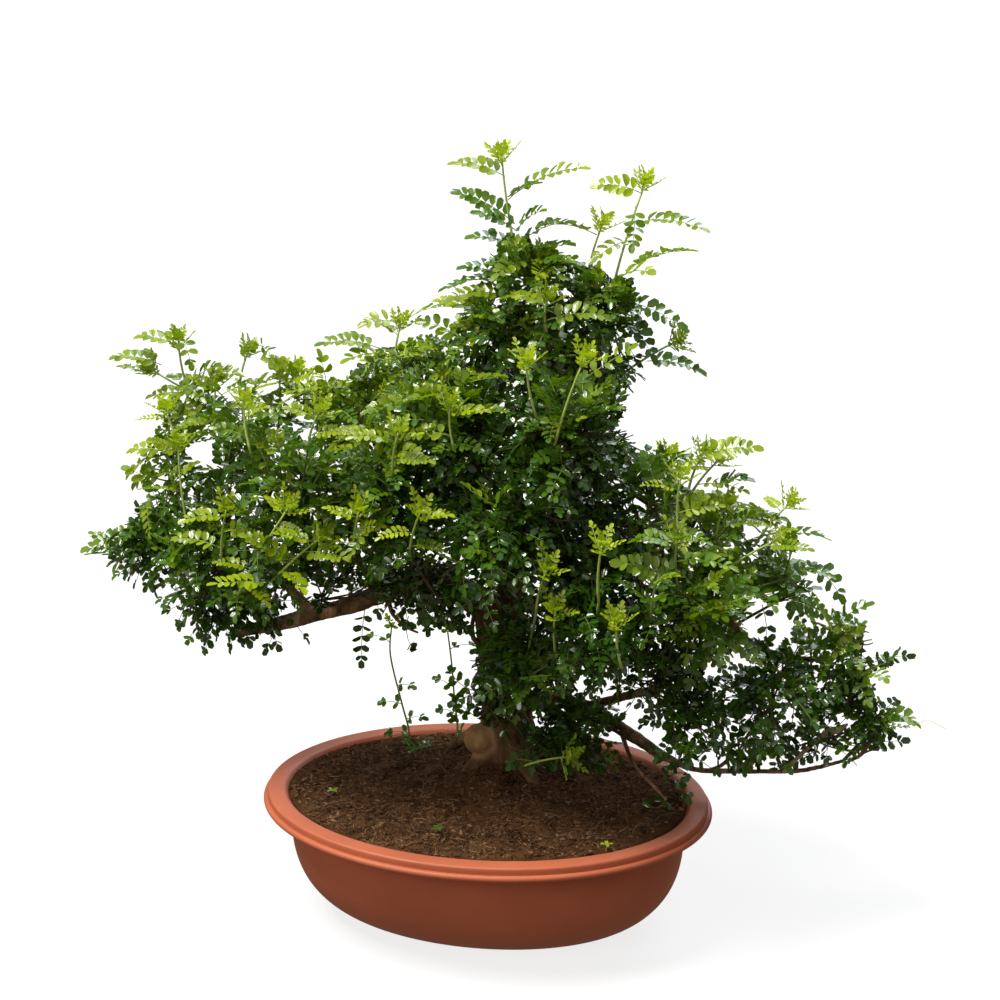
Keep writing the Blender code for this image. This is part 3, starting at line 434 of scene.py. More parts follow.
        ],
        hanging=[((0.115, 0.07, 0.635), (0.115, 0.06, 0.605), 5, 0.35)],
    ),
    "right_spray_1": Spray(
        (0.15, -0.02, 0.395), 0.054, 10,
        lobes=[((0.11, -0.01, 0.415), 0.042, 10), ((0.158, 0.0, 0.42), 0.02, 5)],
        shoots=[
            ((0.16, -0.03, 0.405), (0.16, -0.02, 0.455), 0.06),
            ((0.175, -0.06, 0.39), (0.175, -0.05, 0.445), 0.12),
            ((0.175, 0.0, 0.4), (0.205, 0.02, 0.44), 0.15),
        ],
        leaders=[((0.175, 0.0, 0.405), (0.19, 0.01, 0.45), 0.2)],
        arches=[
            ((0.18, 0.0, 0.435), (0.225, 0.01, 0.445), 7, 0.25),
            ((0.2, 0.0, 0.415), (0.22, 0.0, 0.42), 4, 0.55),
        ],
    ),
    "right_spray_2": Spray(
        (0.212, 0.04, 0.375), 0.05, 9,
        shoots=[
            ((0.2, 0.0, 0.365), (0.21, 0.0, 0.41), 0.2), ((0.23, 0.02, 0.355), (0.265, 0.04, 0.4), 0.08),
        ],
        arches=[((0.25, 0.04, 0.37), (0.22, 0.02, 0.39), 5, 0.35)],
    ),
    "right_spray_3": Spray(
        (0.195, -0.04, 0.31), 0.054, 30,
        lobes=[
            ((0.095, -0.02, 0.35), 0.044, 15), ((0.14, -0.05, 0.34), 0.042, 13),
            ((0.12, -0.02, 0.365), 0.04, 7), ((0.155, 0.0, 0.31), 0.038, 6),
            ((0.18, 0.0, 0.26), 0.034, 6),
        ],
        shoots=[
            ((0.18, -0.09, 0.35), (0.18, -0.11, 0.41), 0.38),
            ((0.16, -0.1, 0.325), (0.17, -0.12, 0.385), 0.48),
        ],
    ),
    "right_spray_4": Spray(
        (0.272, 0.03, 0.318), 0.046, 13,
        shoots=[
            ((0.21, -0.02, 0.345), (0.26, 0.0, 0.375), 0.2),
            ((0.225, 0.01, 0.315), (0.28, 0.01, 0.34), 0.55),
        ],
        arches=[
            ((0.26, 0.03, 0.365), (0.285, 0.03, 0.365), 4, 0.5),
            ((0.24, 0.03, 0.305), (0.278, 0.03, 0.318), 6, 0.5),
            ((0.255, 0.03, 0.335), (0.29, 0.03, 0.332), 6, 0.45),
            ((0.283, 0.05, 0.33), (0.302, 0.05, 0.308), 3, 0.55),
        ],
        hanging=[((0.238, 0.03, 0.3), (0.243, 0.02, 0.268), 3, 0.7)],
    ),
    "low_right_spray_1": Spray(
        (0.325, 0.06, 0.262), 0.048, 12,
        shoots=[
            ((0.285, 0.04, 0.23), (0.28, 0.05, 0.278), 0.55),
            ((0.31, 0.05, 0.235), (0.312, 0.05, 0.283), 0.6),
            ((0.325, 0.05, 0.235), (0.365, 0.05, 0.255), 0.65),
        ],
        arches=[((0.298, 0.05, 0.275), (0.323, 0.05, 0.297), 4, 0.55)],
    ),
    "low_right_spray_2": Spray(
        (0.252, 0.01, 0.218), 0.052, 22,
        lobes=[
            ((0.22, 0.04, 0.155), 0.026, 7), ((0.262, 0.03, 0.25), 0.02, 5),
            ((0.25, 0.04, 0.165), 0.022, 7),
        ],
        hanging=[((0.222, 0.03, 0.258), (0.245, 0.02, 0.27), 3, 0.75)],
    ),
    "low_right_spray_3": Spray(
        (0.345, 0.05, 0.195), 0.04, 15,
        lobes=[((0.31, 0.05, 0.21), 0.038, 11), ((0.285, 0.045, 0.165), 0.026, 7)],
        shoots=[
            ((0.315, 0.05, 0.17), (0.36, 0.05, 0.215), 0.85),
            ((0.325, 0.05, 0.155), (0.36, 0.05, 0.175), 0.7),
        ],
        leaders=[((0.325, 0.05, 0.16), (0.357, 0.05, 0.203), 0.4)],
        arches=[((0.355, 0.05, 0.2), (0.37, 0.05, 0.195), 3, 0.45)],
        hanging=[
            ((0.325, 0.05, 0.24), (0.362, 0.05, 0.255), 5, 0.75),
            ((0.335, 0.05, 0.17), (0.362, 0.05, 0.175), 4, 0.85),
        ],
    ),
    "low_right_spray_4": Spray(
        (0.185, 0.0, 0.195), 0.044, 20,
        lobes=[((0.15, -0.01, 0.24), 0.042, 13), ((0.17, 0.02, 0.23), 0.036, 6)],
        hanging=[
            ((0.15, 0.02, 0.16), (0.175, 0.0, 0.14), 4, 0.85),
            ((0.155, 0.01, 0.15), (0.182, -0.005, 0.13), 3, 0.85),
            ((0.165, -0.01, 0.13), (0.152, -0.014, 0.12), 2, 0.8),
        ],
    ),
    "skirt_spray_1": Spray(
        (0.11, -0.08, 0.3), 0.05, 38,
        lobes=[((0.12, 0.0, 0.27), 0.04, 7)],
        leaders=[
            ((0.12, -0.12, 0.345), (0.125, -0.135, 0.41), 0.12),
            ((0.14, -0.12, 0.29), (0.135, -0.13, 0.345), 0.14),
        ],
    ),
    "skirt_spray_2": Spray(
        (0.042, -0.03, 0.25), 0.044, 36,
        lobes=[
            ((0.085, -0.03, 0.32), 0.042, 16), ((-0.008, 0.012, 0.225), 0.028, 12),
            ((-0.004, 0.01, 0.185), 0.026, 10), ((0.065, 0.0, 0.285), 0.04, 7),
        ],
        shoots=[((0.025, -0.03, 0.22), (0.08, -0.08, 0.28), 0.6)],
        leaders=[
            ((0.065, -0.1, 0.325), (0.08, -0.12, 0.38), 0.16),
            ((0.08, -0.09, 0.285), (0.085, -0.12, 0.345), 0.16),
        ],
        hanging=[
            ((-0.017, 0.02, 0.202), (-0.036, 0.02, 0.218), 3, 0.6),
            ((-0.015, 0.02, 0.177), (-0.032, 0.02, 0.191), 3, 0.55),
            ((-0.01, 0.03, 0.2), (-0.035, 0.03, 0.185), 4, 0.8),
            ((-0.01, 0.03, 0.185), (-0.035, 0.03, 0.17), 3, 0.75),
        ],
    ),
    "skirt_spray_3": Spray(
        (0.078, 0.01, 0.172), 0.036, 24,
        lobes=[((0.06, -0.01, 0.16), 0.036, 14), ((0.1, 0.0, 0.165), 0.028, 6)],
        leaders=[((0.04, -0.03, 0.155), (0.095, -0.05, 0.18), 0.24)],
        hanging=[((0.052, -0.03, 0.16), (0.03, -0.03, 0.158), 3, 0.8)],
    ),
    "back_spray_1": Spray((-0.275, 0.14, 0.36), 0.054, 13),
    "back_spray_2": Spray((-0.175, 0.17, 0.4), 0.056, 13),
    "back_spray_3": Spray((-0.08, 0.15, 0.44), 0.056, 20),
    "back_spray_4": Spray((0.02, 0.15, 0.46), 0.058, 20),
    "back_spray_5": Spray((0.095, 0.165, 0.4), 0.056, 20),
    "back_spray_6": Spray((0.165, 0.155, 0.335), 0.054, 14),
    "back_spray_7": Spray((0.255, 0.15, 0.275), 0.052, 18),
    "back_spray_8": Spray((0.03, 0.185, 0.33), 0.052, 18),
    "back_spray_9": Spray((-0.065, 0.18, 0.34), 0.052, 18),
}
TENDRIL_SPRAY = "low_right_spray_3"
TENDRIL = ((0.362, 0.045, 0.190), (0.385, 0.048, 0.198), (0.400, 0.050, 0.190))
TENDRIL_RADII = (0.0004, 0.0002)

# The canopy is pruned to this outline, as (x, z) seen from the front at the depth below
CANOPY_OUTLINE = (
    (-0.385, 0.3), (-0.34, 0.335), (-0.33, 0.38), (-0.31, 0.445), (-0.29, 0.46), (-0.235, 0.47),
    (-0.19, 0.48), (-0.14, 0.472), (-0.1, 0.508), (-0.05, 0.52), (-0.02, 0.55), (-0.005, 0.585),
    (0.005, 0.605), (0.035, 0.605), (0.08, 0.585), (0.11, 0.575), (0.12, 0.56), (0.125, 0.53),
    (0.128, 0.49), (0.112, 0.47), (0.1, 0.445), (0.125, 0.415), (0.15, 0.435), (0.17, 0.43),
    (0.19, 0.39), (0.228, 0.38), (0.255, 0.38), (0.265, 0.35), (0.245, 0.32), (0.222, 0.297),
    (0.22, 0.266), (0.252, 0.246), (0.26, 0.265), (0.28, 0.288), (0.308, 0.288), (0.324, 0.275),
    (0.328, 0.255), (0.334, 0.24), (0.334, 0.21), (0.34, 0.175), (0.325, 0.152), (0.225, 0.133),
    (0.148, 0.118), (0.08, 0.122), (0.02, 0.115), (0.005, 0.15), (-0.015, 0.165), (-0.02, 0.215),
    (-0.015, 0.24), (-0.045, 0.25), (-0.085, 0.255), (-0.115, 0.27), (-0.185, 0.255), (-0.225, 0.22),
    (-0.295, 0.215), (-0.335, 0.26),
)
OUTLINE_DEPTH = 0.050
OUTLINE_SIDES = (*np.array(CANOPY_OUTLINE).T, *np.roll(np.array(CANOPY_OUTLINE), -1, axis=0).T)
# Gaps in the canopy, as (x, z, radius) seen the same way
CANOPY_GAPS = (
    (-0.27, 0.398, 0.018), (-0.24, 0.395, 0.009), (0.115, 0.415, 0.009), (0.175, 0.395, 0.012),
    (0.22, 0.385, 0.009), (0.15, 0.16, 0.01), (0.29, 0.22, 0.008), (0.265, 0.19, 0.008),
)
# The canopy's top along X, and how old the growth is at a depth under it
CANOPY_TOP_X = (
    -0.40, -0.35, -0.30, -0.09, -0.03, 0.00, 0.13, 0.165, 0.18, 0.22, 0.28, 0.33, 0.37, 0.40,
)
CANOPY_TOP_Z = (0.38, 0.51, 0.53, 0.56, 0.62, 0.71, 0.70, 0.56, 0.47, 0.45, 0.41, 0.35, 0.31, 0.28)
AGE_UNDER = (0.02, 0.07, 0.12, 0.18, 0.26)
AGES = (0.14, 0.32, 0.56, 0.78, 0.92)
CANOPY_MIDDLE = np.array((0.010, 0.055, 0.340))
CANOPY_BACK = 0.10

# Stems and twigs
STEM_RADIUS = 0.0016
LEADER_RADIUS = 0.0013
SHOOT_RADIUS = 0.0010
TWIG_RADIUS = 0.0009
TWIG_SPACING = 0.0066
SHOOT_SPACING = 0.0150
LOWEST_TWIG = 0.138
LONGEST_TWIG = 0.060
STEM_BOW = 0.004
UPRIGHT = 0.25

# Leaves
LEAF_LENGTH = 0.046
LEAFLET_LENGTH = 0.0104
BACK_SWELL = 1.28
LEAFLET_TURN = 0.26
YOUNG_WIDTH_SHARE = 0.56
OLD_WIDTH_SHARE = 0.70
RIB_RADII = (0.00052, 0.00028)
NEW_AGE = 0.45
YOUNG_AGES = (0.05, 0.30)
LEAF_LEAN = 0.75
PRUNING = (1.0, 0.75, 0.5)
ARCH_RISE = 0.16
ARCH_LEAFLET = 0.0125
HANGING_TURN = 0.60
HANGING_LEAFLET = 0.0098
# Tuft of new leaves at a tip: how far it reaches, its first leaf and how each next one grows
SHOOT_TUFT = 0.012
TUFT_LEAF = 0.011
TUFT_GROWTH = 0.0026
TUFT_STEP = 0.0016
TUFT_LEAFLET = 0.0060

# Half outlines of the new and of the old leaflet, along and across. The new one is rounder.
LEAFLET_SIDES = (
    ((0.22, 0.35), (0.60, 0.50), (0.91, 0.33)),
    ((0.30, 0.44), (0.82, 0.42)),
)
LEAFLET_RIB = 0.52
LEAFLET_CUP = 0.30
LEAFLET_SAG = 0.10
LEAFLET_HALF_THICKNESS = 0.024
LEAFLET_RIB_DROP = 0.027

# Suckers: (x, y, z) routes, and where their leaves stand along them
SUCKERS = {
    "sucker_left": (
        (-0.094, 0.094, 0.098), (-0.096, 0.092, 0.128), (-0.1, 0.085, 0.155), (-0.108, 0.076, 0.206),
        (-0.105, 0.07, 0.236),
    ),
    "sucker_near_trunk": (
        (-0.05, 0.1, 0.1), (-0.049, 0.095, 0.135), (-0.049, 0.085, 0.162), (-0.048, 0.07, 0.206),
        (-0.049, 0.06, 0.24),
    ),
}
SUCKER_RADIUS = 0.0011
SUCKER_LEAVES = (0.22, 0.34, 0.52, 0.60, 0.86)
SUCKER_LEAF_LENGTH = 0.022
SUCKER_LEAF_PAIRS = 2
SUCKER_LEAFLET = 0.0088

# Seedlings on the soil, as (x, y, height, age), and a small weed at a sucker's foot
SEEDLINGS = (
    (-0.134, -0.034, 0.006, 0.30), (-0.023, -0.092, 0.006, 0.60), (0.125, -0.095, 0.008, 0.10),
)
SEEDLING_LEAVES = 4
SEEDLING_LEAFLET = 0.0058
WEED_PLACE = (-0.083, 0.060, 0.117)
WEED_LEAVES = 4
WEED_LEAF_LENGTH = 0.026

# Draws: the seed, and which stream each kind of piece draws from
SEED = 47
CRUMB_DRAWS = 1
FIBRE_DRAWS = 2
SPRAY_DRAWS = 10
SUCKER_DRAWS = 80
SEEDLING_DRAWS = 90

# Directions
UP = np.array((0.0, 0.0, 1.0))
DOWN = -UP
LEVEL = np.zeros(3)
FORWARD = np.array((0.0, -1.0, 0.0))
TOWARDS_FRONT = np.array((0.15, -0.90, 0.40))
GOLDEN_ANGLE = math.radians(137.5)

# Sockets of the node that mixes colours
MIX_SHARE = 0
MIX_FIRST = 6
MIX_SECOND = 7
MIX_RESULT = 2


class Nodes:
    """Short ways to add nodes to one material or world, and to feed its shader."""

    def __init__(self, owner, shader="Principled BSDF"):
        owner.use_nodes = True
        self.owner = owner
        self.tree = owner.node_tree
        self.shader = self.tree.nodes[shader]

    def feed(self, node, inputs):
        """Link each named input to a socket, or set it to a value."""
        for key, value in inputs.items():
            if isinstance(value, bpy.types.NodeSocket):
                self.tree.links.new(value, node.inputs[key])
            else:
                node.inputs[key].default_value = value

    def add(self, kind, inputs=None, **settings):
        node = self.tree.nodes.new(kind)
        for key, value in settings.items():
            setattr(node, key, value)
        self.feed(node, inputs or {})
        return node

    def place(self, kind="Object"):
        return self.add("ShaderNodeTexCoord").outputs[kind]

    def height(self, kind="Object"):
        return self.add("ShaderNodeSeparateXYZ", {0: self.place(kind)}).outputs["Z"]

    def noise(self, scale, detail, roughness=0.6, stretch=None, distortion=0.0):
        """Noise in object coordinates; stretch scales the coordinates first."""
        place = self.place()
        if stretch:
            place = self.add("ShaderNodeMapping", {"Vector": place, "Scale": stretch}).outputs["Vector"]
        inputs = {"Vector": place, "Scale": scale, "Detail": detail}
        inputs |= {"Roughness": roughness, "Distortion": distortion}
        return self.add("ShaderNodeTexNoise", inputs).outputs["Fac"]

    def ramp(self, fac, *stops):
        node = self.add("ShaderNodeValToRGB", {"Fac": fac})
        elements = node.color_ramp.elements
        while len(elements) < len(stops):
            elements.new(0.5)
        for element, (place, colour) in zip(elements, stops):
            element.position = place
            element.color = (*colour, 1.0)
        return node.outputs["Color"]

    def mix(self, share, first, second):
        """Some of the second colour over the first; a colour is three numbers or a socket."""
        colours = [(*part, 1.0) if isinstance(part, tuple) else part for part in (first, second)]
        inputs = {MIX_SHARE: share, MIX_FIRST: colours[0], MIX_SECOND: colours[1]}
        return self.add("ShaderNodeMix", inputs, data_type="RGBA").outputs[MIX_RESULT]

    def span(self, value, low, high, out_low=0.0, out_high=1.0):
        inputs = {"Value": value, "From Min": low, "From Max": high}
        inputs |= {"To Min": out_low, "To Max": out_high}
        return self.add("ShaderNodeMapRange", inputs).outputs["Result"]

    def sum(self, whole, part, share):
        inputs = {0: part, 1: share, 2: whole}
        return self.add("ShaderNodeMath", inputs, operation="MULTIPLY_ADD").outputs[0]

    def attribute(self, name):
        return self.add("ShaderNodeAttribute", attribute_name=name).outputs["Fac"]

    def near(self, place, inner, outer, most=1.0):
        """The most within the inner distance of a place in object coordinates, 0 past the outer."""
        distance = self.add("ShaderNodeVectorMath", {0: self.place(), 1: place}, operation="DISTANCE")
        return self.span(distance.outputs["Value"], inner, outer, most, 0.0)

    def bump(self, height, strength, distance):
        node = self.add("ShaderNodeBump", {"Height": height, "Strength": strength, "Distance": distance})
        self.feed(self.shader, {"Normal": node.outputs["Normal"]})

    def look(self, colour, roughness, gloss=0.5):
        inputs = {"Base Color": colour, "Roughness": roughness, "Specular IOR Level": gloss}
        self.feed(self.shader, inputs)

    def blend(self, share, first, second):
        """Send a mix of two shaders to the output."""
        join = self.add("ShaderNodeMixShader", {"Fac": share, 1: first.outputs[0], 2: second.outputs[0]})
        output = next(node for node in self.tree.nodes if node.type.startswith("OUTPUT"))
        self.feed(output, {"Surface": join.outputs[0]})


def clay_material():
    clay = Nodes(bpy.data.materials.new("terracotta_plastic"))
    fine = clay.noise(260.0, 2.0)
    lines = clay.noise(30.0, 5.0, 0.7, stretch=(1.0, 1.0, 14.0), distortion=0.6)
    patches = clay.noise(9.0, 4.0)
    colour = clay.ramp(patches, (0.30, (0.375, 0.092, 0.040)), (0.70, (0.440, 0.114, 0.050)))
    specks = clay.span(fine, 0.60, 0.78, 0.0, 0.16)
    colour = clay.mix(specks, colour, (0.52, 0.20, 0.12))
    scuffs = clay.span(lines, 0.62, 0.74, 0.0, 0.22)
    colour = clay.mix(scuffs, colour, (0.50, 0.19, 0.115))
    # Darker towards the bottom of the pot, fading out over its lowest 3 cm
    base_darkening = clay.span(clay.height(), 0.0, 0.030, 0.45, 0.0)
    colour = clay.mix(base_darkening, colour, (0.29, 0.085, 0.047))
    clay.look(colour, clay.span(lines, 0.35, 0.75, 0.46, 0.62), 0.35)
    clay.bump(clay.sum(lines, fine, 0.5), 0.10, 0.0010)
    return clay.owner


def soil_material():
    soil = Nodes(bpy.data.materials.new("potting_soil"))
    clods = soil.noise(38.0, 6.0, 0.7)
    grains = soil.noise(620.0, 4.0, 0.75)
    both = soil.sum(clods, grains, 1.2)
    colour = soil.ramp(both, (0.98, (0.007, 0.0030, 0.0012)), (1.28, (0.100, 0.046, 0.018)))
    soil.look(colour, 0.95, 0.05)
    soil.bump(both, 0.9, 0.0020)
    return soil.owner


def fibre_material():
    fibre = Nodes(bpy.data.materials.new("coir_fibre"))
    colour = fibre.ramp(
        fibre.attribute("age"),
        (0.0, (0.012, 0.005, 0.002)),
        (0.5, (0.105, 0.052, 0.024)),
        (1.0, (0.26, 0.150, 0.080)),
    )
    fibre.look(colour, fibre.span(fibre.noise(900.0, 2.0), 0.3, 0.7, 0.75, 0.95), 0.08)
    return fibre.owner


def bark_material():
    bark = Nodes(bpy.data.materials.new("bark"))
    streaks = bark.noise(60.0, 7.0, 0.72, stretch=(1.0, 1.0, 0.32), distortion=0.8)
    grain = bark.noise(420.0, 4.0, 0.7)
    colour = bark.ramp(
        streaks,
        (0.38, (0.052, 0.029, 0.014)),
        (0.52, (0.225, 0.135, 0.070)),
        (0.68, (0.47, 0.31, 0.18)),
    )
    moss = bark.span(bark.noise(22.0, 3.0), 0.50, 0.72, 0.0, 0.55)
    colour = bark.mix(moss, colour, (0.085, 0.085, 0.040))
    flakes = bark.span(grain, 0.58, 0.75, 0.0, 0.35)
    colour = bark.mix(flakes, colour, (0.34, 0.27, 0.19))
    # Painted shade: the trunk round its middle, under the canopy, is darkened
    shade = bark.near(TRUNK_SHADE_PLACE, 0.075, 0.120, 0.70)
    colour = bark.mix(shade, colour, (0.085, 0.040, 0.016))
    tan = bark.ramp(streaks, (0.38, (0.26, 0.135, 0.055)), (0.64, (0.46, 0.275, 0.125)))
    colour = bark.mix(bark.near(BURL_PLACE, 0.012, 0.021), colour, tan)
    soiled = bark.span(bark.height(), 0.112, 0.136, 0.80, 0.0)
    colour = bark.mix(soiled, colour, (0.070, 0.034, 0.015))
    bark.look(colour, bark.span(grain, 0.3, 0.7, 0.66, 0.88), 0.15)
    bark.bump(bark.sum(streaks, grain, 0.35), 0.85, 0.0024)
    return bark.owner


def cut_wood_material():
    wood = Nodes(bpy.data.materials.new("cut_wood"))
    rings = wood.noise(320.0, 4.0)
    wood.look(wood.ramp(rings, (0.35, (0.27, 0.17, 0.10)), (0.65, (0.50, 0.36, 0.23))), 0.85)
    wood.bump(rings, 0.4, 0.0008)
    return wood.owner


def leaf_material():
    """Leaflets: age goes from new yellow-green to old dark green; light shows through them."""
    leaf = Nodes(bpy.data.materials.new("pepper_leaf"))
    age = leaf.attribute("age")
    rib = leaf.attribute("rib")
    colour = leaf.ramp(
        age,
        (0.0, (0.50, 0.60, 0.020)),
        (0.22, (0.325, 0.395, 0.010)),
        (0.48, (0.088, 0.198, 0.008)),
        (0.72, (0.031, 0.110, 0.005)),
        (1.0, (0.011, 0.048, 0.003)),
    )
    pores = leaf.noise(700.0, 2.0)
    colour = leaf.mix(leaf.span(pores, 0.45, 0.75, 0.0, 0.14), colour, (0.14, 0.26, 0.015))
    colour = leaf.mix(leaf.span(rib, 0.80, 0.98, 0.0, 0.30), colour, (0.26, 0.38, 0.05))
    under = leaf.span(leaf.attribute("under"), 0.0, 1.0, 0.0, 0.30)
    colour = leaf.mix(under, colour, (0.13, 0.19, 0.025))
    leaf.look(colour, leaf.span(age, 0.0, 1.0, 0.32, 0.12), 1.00)
    leaf.bump(leaf.sum(rib, pores, 0.25), 0.35, 0.0006)
    shining = leaf.ramp(
        age, (0.0, (0.80, 0.90, 0.020)), (0.35, (0.46, 0.66, 0.012)), (1.0, (0.075, 0.18, 0.008)),
    )
    glow = leaf.add("ShaderNodeBsdfTranslucent", {"Color": shining})
    leaf.blend(leaf.span(age, 0.0, 1.0, 0.56, 0.34), leaf.shader, glow)
    return leaf.owner


def stem_material():
    stem = Nodes(bpy.data.materials.new("stem"))
    colour = stem.ramp(
        stem.attribute("age"),
        (0.0, (0.42, 0.56, 0.11)),
        (0.45, (0.20, 0.30, 0.055)),
        (0.80, (0.085, 0.080, 0.032)),
        (1.0, (0.070, 0.042, 0.024)),
    )
    grain = stem.noise(500.0, 3.0)
    colour = stem.mix(stem.span(grain, 0.5, 0.8, 0.0, 0.30), colour, (0.20, 0.15, 0.07))
    stem.look(colour, stem.span(grain, 0.3, 0.7, 0.42, 0.62))
    stem.bump(grain, 0.3, 0.0006)
    return stem.owner


def floor_material():
    floor = Nodes(bpy.data.materials.new("pale_floor"))
    colour = floor.ramp(floor.noise(2.0, 2.0), (0.3, (0.17, 0.17, 0.17)), (0.7, (0.18, 0.18, 0.18)))
    floor.look(colour, 0.9, 0.1)
    floor.feed(floor.shader, {"Emission Color": (1.0, 1.0, 1.0, 1.0), "Emission Strength": 0.80})
    return floor.owner


def put(obj):
    bpy.context.scene.collection.objects.link(obj)
    return obj


def object_of(bm, name):
    """Put what a bmesh holds into the scene as an object."""
    mesh = bpy.data.meshes.new(name)
    bm.to_mesh(mesh)
    bm.free()
    return put(bpy.data.objects.new(name, mesh))


def mesh_of(obj):
    bpy.context.view_layer.update()
    graph = bpy.context.evaluated_depsgraph_get()
    return bpy.data.meshes.new_from_object(obj.evaluated_get(graph))


def apply_modifiers(obj):
    made = mesh_of(obj)
    obj.modifiers.clear()
    obj.data = made
    return made


def put_arrays(name, points, faces, materials, ages):
    """An object from lists of arrays of points and faces, with the age of each point."""
    mesh = bpy.data.meshes.new(name)
    mesh.from_pydata(np.concatenate(points).tolist(), [], np.concatenate(faces).tolist())
    mesh.update()
    for made in materials:
        mesh.materials.append(made)
    mesh.shade_smooth()
    add_attribute(mesh, "age", ages)
    return put(bpy.data.objects.new(name, mesh))


def add_attribute(mesh, name, values, domain="POINT"):
    made = mesh.attributes.new(name, "FLOAT", domain)
    made.data.foreach_set("value", np.concatenate(values).astype(np.float32))


def draws(stream):
    """Random draws that are the same in every run."""
    return np.random.default_rng([SEED, stream])


def unit(vectors):
    vectors = np.asarray(vectors, float)
    return vectors / np.maximum(np.linalg.norm(vectors, axis=-1, keepdims=True), 1e-9)


def smooth_route(points, steps):
    """Catmull-Rom points through the route, each with its radius as a fourth number."""
    ends = np.array([points[0], *points, points[-1]], float)
    route = []
    for p, q, r, s in zip(ends, ends[1:], ends[2:], ends[3:]):
        for step in range(steps):
            t = step / steps
            route.append(0.5 * (2 * q + (r - p) * t + (2 * p - 5 * q + 4 * r - s) * t * t
                                + (3 * q - p - 3 * r + s) * t ** 3))
    route.append(ends[-1])
    return np.array(route)


def on_bend(root, bend, tip, t):
    """Where a share t of the way is, on the curve from root to tip that leans towards bend."""
    return root * (1 - t) ** 2 + bend * 2 * t * (1 - t) + tip * t * t


def along_bend(root, bend, tip, t):
    return unit((bend - root) * (1 - t) + (tip - bend) * t)


def bezier(root, bend, tip, count):
    return on_bend(root, bend, tip, np.linspace(0.0, 1.0, count)[:, None])


def straight(root, tip, count):
    return bezier(root, 0.5 * (root + tip), tip, count)


def tube_mesh(route, radii, sides):
    """Points and triangles of a closed tube, its ring turned with the route."""
    route = np.asarray(route, float)
    count = len(route)
    along = unit(np.gradient(route, axis=0))
    start = np.cross(along[0], (0.0, 0.0, 1.0))
    if np.linalg.norm(start) < 0.2:
        start = np.cross(along[0], (1.0, 0.0, 0.0))
    across = unit(start)
    angles = 2 * math.pi * np.arange(sides) / sides
    rings = []
    for index in range(count):
        across = unit(across - along[index] * across.dot(along[index]))
        other = np.cross(along[index], across)
        ring = np.cos(angles)[:, None] * across + np.sin(angles)[:, None] * other
        rings.append(route[index] + ring * radii[index])
    faces = []
    for ring in range(count - 1):
        for side in range(sides):
            a = ring * sides + side
            b = ring * sides + (side + 1) % sides
            faces += [(a, b, b + sides), (a, b + sides, a + sides)]
    end = (count - 1) * sides
    for side in range(1, sides - 1):
        faces += [(0, side + 1, side), (end, end + side, end + side + 1)]
    return np.concatenate(rings), np.array(faces)


def leaflet_shape(side):
    """A leaflet in its own measure, as points (along, across, cup), faces, and rib and rim marks.

    The outline runs from the base up the right side to the tip and down the left side. The rib's
    point comes last, once for the upper face and once for the lower.
    """
    outline = [(0.0, 0.0), *side, (1.0, 0.0), *((u, -v) for u, v in side[::-1])]
    rows = [(u, v, LEAFLET_CUP * abs(v) - LEAFLET_SAG * u * u) for u, v in outline]
    for lift in (LEAFLET_HALF_THICKNESS, -LEAFLET_HALF_THICKNESS):
        rows.append((LEAFLET_RIB, 0.0, lift - LEAFLET_RIB_DROP))
    count = len(outline)
    upper = [(index, count, (index + 1) % count) for index in range(count)]
    lower = [(index, (index + 1) % count, count + 1) for index in range(count)]
    ribs = np.array([1.0 if v == 0 else 0.0 for _, v, _ in rows])
    return np.array(rows), np.array(upper + lower), ribs, np.arange(count + 2) < count


LEAFLET_SHAPES = [leaflet_shape(side) for side in LEAFLET_SIDES]


